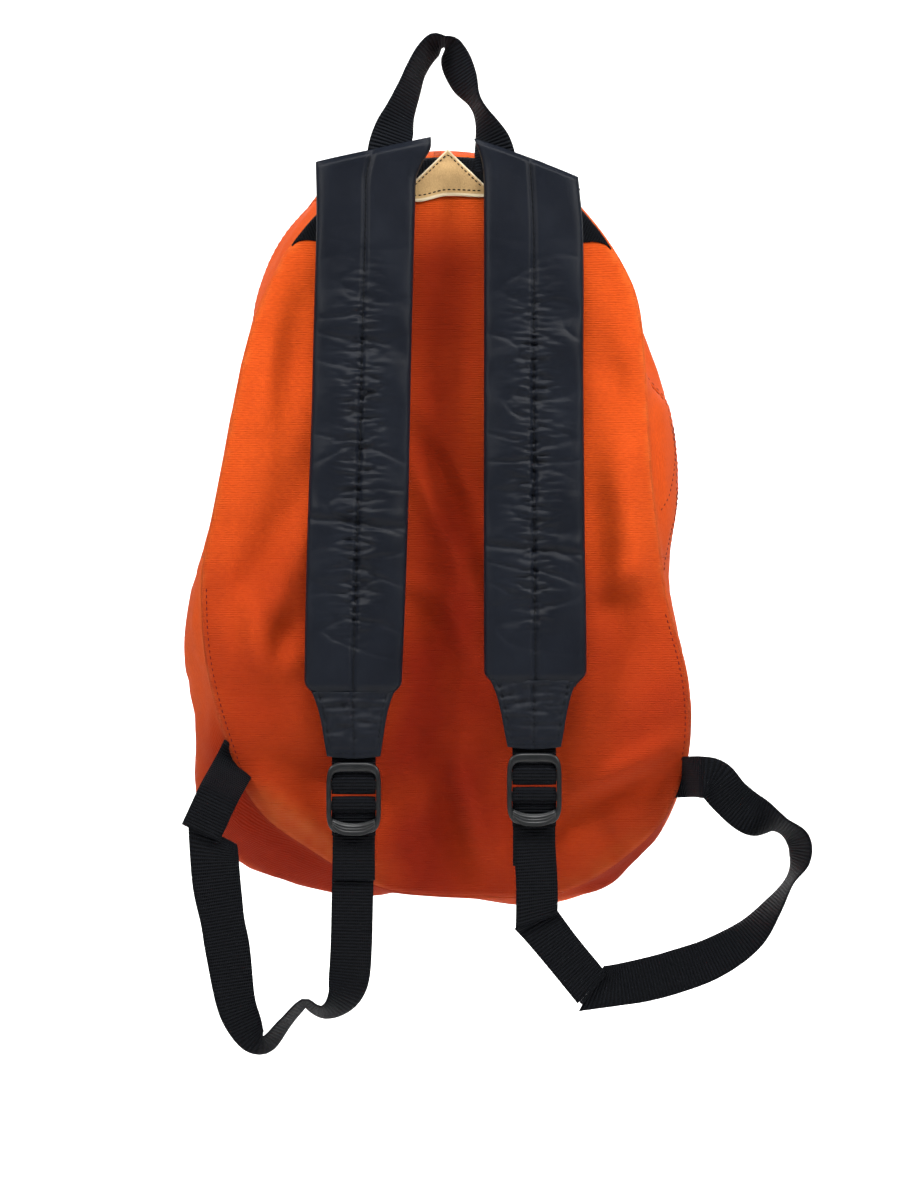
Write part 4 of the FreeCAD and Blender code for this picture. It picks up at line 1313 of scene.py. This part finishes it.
def make_patch():
    """A house-shaped piece of suede over the yoke, stitched just inside its raw edges."""
    rows, columns = 33, 49

    def place(down, across, inset=0.0):
        x = PATCH_MIDDLE + (PATCH_HALF - inset) * across
        top = -57.8 - inset * 1.5 - 0.98 * abs(x - PATCH_MIDDLE)
        foot = -86.6 - 3.6 * smooth(4, -14, x) - 0.6 * smooth(8, 24, x) + inset * 1.2
        return x, top + (foot - top) * down

    def depth(x, z):
        step, far = polar(x, z)
        return back_depth(x, z, min(far / reach(BACK_RIM, step), 0.985)) - 2.2

    def front(down, across):
        x, z = place(down, across)
        edge = min(1.0, (1 - down) / 0.05, down / 0.06)
        return x, depth(x, z) - 0.7 * edge + 0.25 * noise_at(x / 6, z / 6, 2), z

    def back(down, across):
        x, z = place(down, across)
        return x, depth(x, z) + 0.5, z

    def wear(down, across):
        x, z = place(down, across)
        _, top = place(0, across)
        _, foot = place(1, across)
        return max(smooth(2.2, 1.4, z - foot), smooth(1.3, 0.6, (top - z) * 0.71))

    patch = make_closed("suede_patch", rows * 2, columns, front, back,
                        lambda down, across: (across * 24, down * 30), SUEDE, wear)
    settle(patch, "bag", "suede", "leather_patch")
    outlines = [[place(down, across, inset) for across in across_steps(41)]
                for down, inset in ((0, 2.0), (1, 3.2))]
    lines = [[(x, depth(x, z) - 0.95, z) for x, z in outline] for outline in outlines]
    settle(sew("patch_thread", lines, THREAD, 2.2, 0.8, 0.34), "bag", "thread")


def fold_edge(name, start, end, depths):
    """The rounded turn between two layers of webbing, along the line where they fold."""
    (x1, z1), (x2, z2) = start, end
    along_fold = Vector((x2 - x1, 0, z2 - z1)).normalized()
    out = Vector((along_fold.z, 0, -along_fold.x))
    back, front = depths
    middle, radius = (back + front) / 2, (back - front) / 2
    bulge = 1.7
    points, uvs = [], []
    columns, turns = 13, 9
    for thick in (WEB_THICK / 2, -WEB_THICK / 2):
        for column in range(columns):
            part = column / (columns - 1)
            foot = Vector((x1 + (x2 - x1) * part, middle, z1 + (z2 - z1) * part))
            for across in across_steps(turns):
                phi = math.pi / 2 * across
                points.append(tuple(foot + out * ((bulge + thick) * math.cos(phi))
                                    + Vector((0, (radius + thick) * math.sin(phi), 0))))
                uvs.append((WEB_WIDTH * part, 6 * phi))
    return recalculate(make_mesh(name, points, two_sided(columns, turns), uvs, None, WEBBING))


# ---------------------------------------------------------------- seams, bindings and zips
def shell_line(start, end, count):
    """Points along the gusset from one (direction, part of the depth) to another."""
    made = []
    for index in range(count):
        u = index / (count - 1)
        step = start[0] + (end[0] - start[0]) * u
        part = start[1] + (end[1] - start[1]) * u
        first = seam_depth(step)
        spot = Vector(shell_point(step, first + part * (FRONT_Y - first)))
        made.append(spot + radial(spot) * 0.75)
    return made


def make_binding(name, rim, y_near, y_far, turns, closed):
    """Binding tape folded over a seam allowance inside the bag."""
    profile = [(1.2, 0.0), (5.2, 0.15), (8.6, 0.5), (5.2, 0.85), (1.2, 1.0)]
    points, uvs = [], []
    for row, (inset, part) in enumerate(profile):
        for index, turn in enumerate(turns):
            x, z = at(turn, reach(rim, turn) - inset)
            points.append((x, y_near(turn) + (y_far(turn) - y_near(turn)) * part, z))
            uvs.append((row * 3.6, index * 3.0))
    piece = make_mesh(name, points, grid_faces(len(profile), len(turns), closed), uvs, None, BINDING)
    return thicken(piece, 0.7, 1)


def make_bindings():
    """The bound seams of the back and front panels; the front one parts at the flap's hinge."""
    whole = [2.0 * k for k in range(180)]
    back = make_binding("back_seam_tape", BACK_RIM, lambda turn: seam_depth(turn) + 2.0,
                        lambda turn: seam_depth(turn) + 4.6, whole, True)
    settle(back, "bag", "binding", "back_seam_binding")
    for name, turns, body in (("upper", [-88 + 2 * k for k in range(89)], "front_flap"),
                              ("lower", [92 + 2 * k for k in range(89)], "bag")):
        tape = make_binding("front_seam_tape_" + name, FRONT_RIM, lambda turn: FRONT_Y - 4.6,
                            lambda turn: FRONT_Y - 2.0, turns, False)
        follow(tape, body, "binding", "front_seam_binding_" + name)


TOOTH_PITCH = 1.7
TOPSTITCH = 3.4, 1.0, 0.3       # each stitch, the gap after it and its radius


def make_zip_sheet(name, points, uvs, rows):
    """A zip's tape, given row by row."""
    tape = make_mesh(name, points, grid_faces(rows, len(points) // rows), uvs, None, ZIP_TAPE)
    return thicken(tape, 0.6)


def make_teeth(name, spots, across, signs, out_at):
    """Rows of a coil zip: a bead per tooth, each lying across the zip's line on its own side."""
    points, faces = [], []
    for spot, sign in zip(spots, signs):
        add_bead(points, faces, spot + across * (sign * 2.3), spot - across * (sign * 0.45),
                 out_at(spot), 0.62)
    return make_mesh(name, points, faces, None, None, COIL)


def make_main_zip():
    """Tapes under the gusset edges and the two rows of coil that meet on the zip line."""
    turns = [-89.5 + 179 * k / 300 for k in range(301)]
    rows = 6
    for name, low, high, body in (("rear", 47.5, 59.4, "bag"), ("front", 60.6, 72.5, "front_flap")):
        points, uvs = [], []
        for row in range(rows):
            y = low + (high - low) * row / (rows - 1)
            for index, turn in enumerate(turns):
                spot = Vector(shell_point(turn, y))
                points.append(tuple(spot - radial(spot) * 1.3))
                uvs.append((y, index * 2.1))
        tape = make_zip_sheet("zip_cloth_" + name, points, uvs, rows)
        follow(tape, body, "zip_tape", "zip_tape_" + name)
    line = [Vector(shell_point(turn, ZIP_Y)) for turn in turns]
    spots = resample([spot - radial(spot) * 0.35 for spot in line], TOOTH_PITCH / 2)
    for name, first, sign, body in (("rear", 0, -1, "bag"), ("front", 1, 1, "front_flap")):
        teeth = spots[first::2]
        coil = make_teeth("zip_teeth_" + name, teeth, Vector((0, 1, 0)), [sign] * len(teeth), radial)
        follow(coil, body, "zip_coil", "zip_coil_" + name)


class Local:
    """A place on the bag: its own length, width and height directions."""

    def __init__(self, origin, length, width, height):
        self.origin, self.axes = Vector(origin), [Vector(axis) for axis in (length, width, height)]

    def __call__(self, u, v, w):
        """A local point in the bag's frame."""
        spot = self.origin + self.axes[0] * u + self.axes[1] * v + self.axes[2] * w
        return tuple(spot)


SLIDER_BASE = 117.6


def on_arch(degrees):
    """The local frame of a slider on the main zip, length clockwise."""
    angle = math.radians(degrees)
    height = (math.sin(angle), 0, math.cos(angle))
    centre = Vector((0, ZIP_Y, -ARCH_DROP)) + Vector(height) * SLIDER_BASE
    return Local(centre, (math.cos(angle), 0, -math.sin(angle)), (0, 1, 0), height)


def make_slider_body(name, place, body, node):
    """A die-cast slider: waisted, domed, with a wire bail."""
    def corner(u):
        return math.sqrt(max(0.0, 1 - (abs(u) / 7.2) ** 8))

    def face(down, across, rise, dome):
        u = -7.0 + 14.0 * down
        half = 3.1 + 1.7 * smooth(-2.0, 6.0, u) - 0.5 * bump(u, 1.0, 2.4)
        return place(u, half * across * (0.55 + 0.45 * corner(u)),
                     rise + dome * (1 - abs(across) ** 3) * corner(u))

    shell = make_closed(name, 25, 15, lambda down, across: face(down, across, 2.1, 0.9),
                        lambda down, across: face(down, across, -0.4, 0.0),
                        lambda down, across: (across * 5, down * 14), METAL)
    points = []
    stations = 17
    for station in range(stations):
        phi = math.pi * station / (stations - 1)
        for cosine, sine in circle(8):
            out = 3.6 + 0.8 * cosine
            points.append(place(out * math.cos(phi) * 1.15, 0.95 * sine,
                                2.2 + out * math.sin(phi) * 0.88))
    bail = make_mesh(name + "_bail", points, grid_faces(stations, 8, True), None, None, METAL)
    settle(shell, body, "slider_metal", node)
    settle(bail, body, "slider_metal")


def make_pull(name, place, body, node, hangs=False):
    """A tapered metal pull with a sunk face and an eye at its upper end."""
    def spot(down, across, height):
        ends = math.sqrt(max(0.0, 1 - abs(2 * down - 1) ** 9))
        half = (2.3 + 1.1 * smooth(0.1, 0.8, down)) * (0.35 + 0.65 * ends)
        u, v = 24.0 * down - 1.0, half * across
        return place(v, -u, height) if hangs else place(u, v, height)

    def front(down, across):
        sunk = smooth(0.30, 0.36, down) * smooth(0.92, 0.86, down) * smooth(0.72, 0.52, abs(across))
        eye = bump(down, 0.12, 0.05) * bump(across, 0, 0.55)
        return spot(down, across, 7.8 - 0.35 * sunk - 0.5 * eye - 0.3 * across ** 6)

    def back(down, across):
        return spot(down, across, 6.7 + 0.3 * across ** 6)

    pull = make_closed(name, 49, 15, front, back,
                       lambda down, across: (across * 4, down * 24), METAL)
    settle(pull, body, "slider_metal", node)


def make_main_sliders():
    """Two sliders at the top of the arch, each with its pull."""
    for name, degrees in (("left", 20.0), ("right", 32.0)):
        place = on_arch(degrees)
        make_slider_body("zip_slider_" + name, place, "slider_" + name, "main_slider_" + name)
        make_pull("zip_pull_" + name, place, "pull_" + name, "main_pull_" + name)


def make_seam_stitches():
    """Topstitching along the zip and the seams, and the side seams on the right of the gusset."""
    for name, y, body in (("rear", 51.5, "bag"), ("front", 68.5, "front_flap")):
        line = [Vector(shell_point(-88 + 176 * k / 260, y)) for k in range(261)]
        row = sew("zip_topstitch_" + name, [[spot + radial(spot) * 0.7 for spot in line]], RED_THREAD,
                  *TOPSTITCH, out_at=radial)
        follow(row, body, "thread")
    sides = [shell_line((60.5, 0.44), (78.5, 0.06), 60), shell_line((73.0, 0.46), (95.0, 0.05), 60)]
    settle(sew("side_seam_thread", sides, RED_THREAD, 2.8, 1.3, 0.4, out_at=radial), "bag", "thread")
    edges = []
    for first, last in ((104, 131), (222, 264)):
        edges.append([])
        for turn in [first + (last - first) * k / 160 for k in range(161)]:
            rim = reach(BACK_RIM, turn)
            x, z = at(turn, rim - 3.2)
            edges[-1].append((x, back_depth(x, z, 1 - 3.2 / rim) - 0.65, z))
    settle(sew("back_seam_thread", edges, RED_THREAD, 2.9, 0.8, 0.34), "bag", "thread")


# ---------------------------------------------------------------- front pocket
POCKET_HALF = 122.0
POCKET_TOP = -318.0
POCKET_FLOOR = -496.0
POCKET_CORNER = 55.0
POCKET_TURN = 10.0      # radius of the upper corners
POCKET_ZIP = -338.0
POCKET_RIM_Y = 159.0
POCKET_ZIP_Y = 163.2


def pocket_half(z):
    """Half the pocket's width at a height."""
    upper, lower = POCKET_TOP - POCKET_TURN, POCKET_FLOOR + POCKET_CORNER
    if z > upper:
        return POCKET_HALF - POCKET_TURN + math.sqrt(max(0.0, POCKET_TURN ** 2 - (z - upper) ** 2))
    if z < lower:
        return POCKET_HALF - POCKET_CORNER + math.sqrt(max(0.0, POCKET_CORNER ** 2 - (z - lower) ** 2))
    return POCKET_HALF


def pocket_y(x, z):
    """How far out the pocket's face lies: flat along the zip, full below it."""
    side = min(1.0, abs(x) / max(pocket_half(z), 1.0))
    lower = POCKET_FLOOR + POCKET_CORNER
    foot = max(0.0, (lower - z) / POCKET_CORNER)
    top = smooth(POCKET_TOP, POCKET_TOP - 11, z)
    window = (1 - side ** 5) * (1 - foot ** 4) * top
    belly = POCKET_ZIP_Y - POCKET_RIM_Y + 5.0 * bump(z, -415, 46)
    loose = smooth(7, 24, abs(z - POCKET_ZIP)) * (1 - side ** 8)
    slack = ripple(x, 300, z, 46, 5.0) + ripple(x, 330, z, 21, 2.4) + ripple(x, 350, z, 9, 0.7)
    return POCKET_RIM_Y + window * (belly + loose * (slack - 0.6))


def pocket_outline():
    """The pocket's outline, evenly spaced, clockwise seen from behind its zip."""
    corners = [(POCKET_HALF - POCKET_TURN, POCKET_TOP - POCKET_TURN, POCKET_TURN, 90, 0),
               (POCKET_HALF - POCKET_CORNER, POCKET_FLOOR + POCKET_CORNER, POCKET_CORNER, 0, -90),
               (-POCKET_HALF + POCKET_CORNER, POCKET_FLOOR + POCKET_CORNER, POCKET_CORNER, -90, -180),
               (-POCKET_HALF + POCKET_TURN, POCKET_TOP - POCKET_TURN, POCKET_TURN, 180, 90)]
    chain = []
    for x, z, radius, start, end in corners:
        for step in range(13):
            angle = math.radians(start + (end - start) * step / 12)
            chain.append(Vector((x + radius * math.cos(angle), 0, z + radius * math.sin(angle))))
    return resample(chain + chain[:1], 2.5)[:-1]


def make_pocket_face(name, high, low, rows, node):
    """A stretch of the pocket's face between two heights."""
    columns = 121
    points, uvs = [], []
    for row in range(rows):
        z = high + (low - high) * (1 - (1 - row / (rows - 1)) ** 1.25)
        for column in range(columns):
            x = pocket_half(z) * math.sin(math.pi / 2 * (-1 + 2 * column / (columns - 1)))
            points.append((x, pocket_y(x, z), z))
            uvs.append((x, z))
    face = make_mesh(name, points, grid_faces(rows, columns), uvs, None, CANVAS)
    thicken(face, CANVAS_THICK)
    settle(face, "bag", "canvas", node)


def make_pocket():
    """A bellows pocket with a zip across its top."""
    outline = pocket_outline()
    rows = 12
    points, uvs = [], []
    for row in range(rows):
        part = row / (rows - 1)
        for index, spot in enumerate(outline):
            run = (outline[(index + 1) % len(outline)] - outline[index - 1]).normalized()
            swell = 3.0 + 0.8 * ripple(spot.x, part * 30, spot.z, 18, 2.0)
            shift = Vector((-run.z, 0, run.x)) * (swell * math.sin(math.pi * part))
            y = 127.0 + (POCKET_RIM_Y - 127.0) * part
            points.append((spot.x + shift.x, y, spot.z + shift.z))
            uvs.append((y, 2.5 * index))
    faces = grid_faces(rows, len(outline), True)
    gusset = make_mesh("pocket_gusset_cloth", points, faces, uvs, None, CANVAS)
    thicken(gusset, CANVAS_THICK)
    settle(gusset, "bag", "canvas", "pocket_gusset")
    make_pocket_face("pocket_top_cloth", POCKET_TOP, POCKET_ZIP + 3.6, 9, "pocket_top_strip")
    make_pocket_face("pocket_front_cloth", POCKET_ZIP - 3.6, POCKET_FLOOR, 90, "pocket_front")

    wide = POCKET_HALF - 4
    spots = [wide * part for part in across_steps(97)]
    drops = [-13 * r / 4 for r in range(5)]
    tape = make_zip_sheet("pocket_zip_cloth",
                          [(x, pocket_y(x, POCKET_ZIP) - 1.4, POCKET_ZIP + 6.5 + drop)
                           for drop in drops for x in spots],
                          [(drop, x) for drop in drops for x in spots], len(drops))
    settle(tape, "bag", "zip_tape", "pocket_zip_tape")
    line = resample([(x, pocket_y(x, POCKET_ZIP) - 0.4, POCKET_ZIP) for x in spots], TOOTH_PITCH / 2)
    signs = [1 if index % 2 else -1 for index in range(len(line))]
    settle(make_teeth("pocket_zip_teeth", line, Vector((0, 0, 1)), signs, frontwards), "bag",
           "zip_coil", "pocket_zip_coil")
    place = Local((-96, POCKET_ZIP_Y + 0.8, POCKET_ZIP), (1, 0, 0), (0, 0, 1), (0, 1, 0))
    make_slider_body("pocket_slider_metal", place, "pocket_slider_body", "pocket_slider")
    make_pull("pocket_pull_metal", place, "pocket_pull_body", "pocket_pull", hangs=True)

    lines = [[(wide * part, POCKET_ZIP + drop) for part in across_steps(81)] for drop in (6.2, -6.2)]
    lines.append([(spot.x * 0.968, POCKET_ZIP + 70 + (spot.z - POCKET_ZIP - 70) * 0.985)
                  for spot in outline])
    lifted = [[(x, pocket_y(x, z) + 0.7, z) for x, z in line] for line in lines]
    settle(sew("pocket_thread", lifted, RED_THREAD, *TOPSTITCH, out_at=frontwards), "bag", "thread")


make_camera()
make_studio()
make_shell()

for side in ("left", "right"):
    make_strap(side)
    make_lock_frame(side)
    make_lock_webbing(side)
    make_strap_tab(side)

make_lower_webbings()
make_handle()
make_yoke()
make_patch()
make_bindings()
make_main_zip()
make_main_sliders()
make_seam_stitches()
make_pocket()
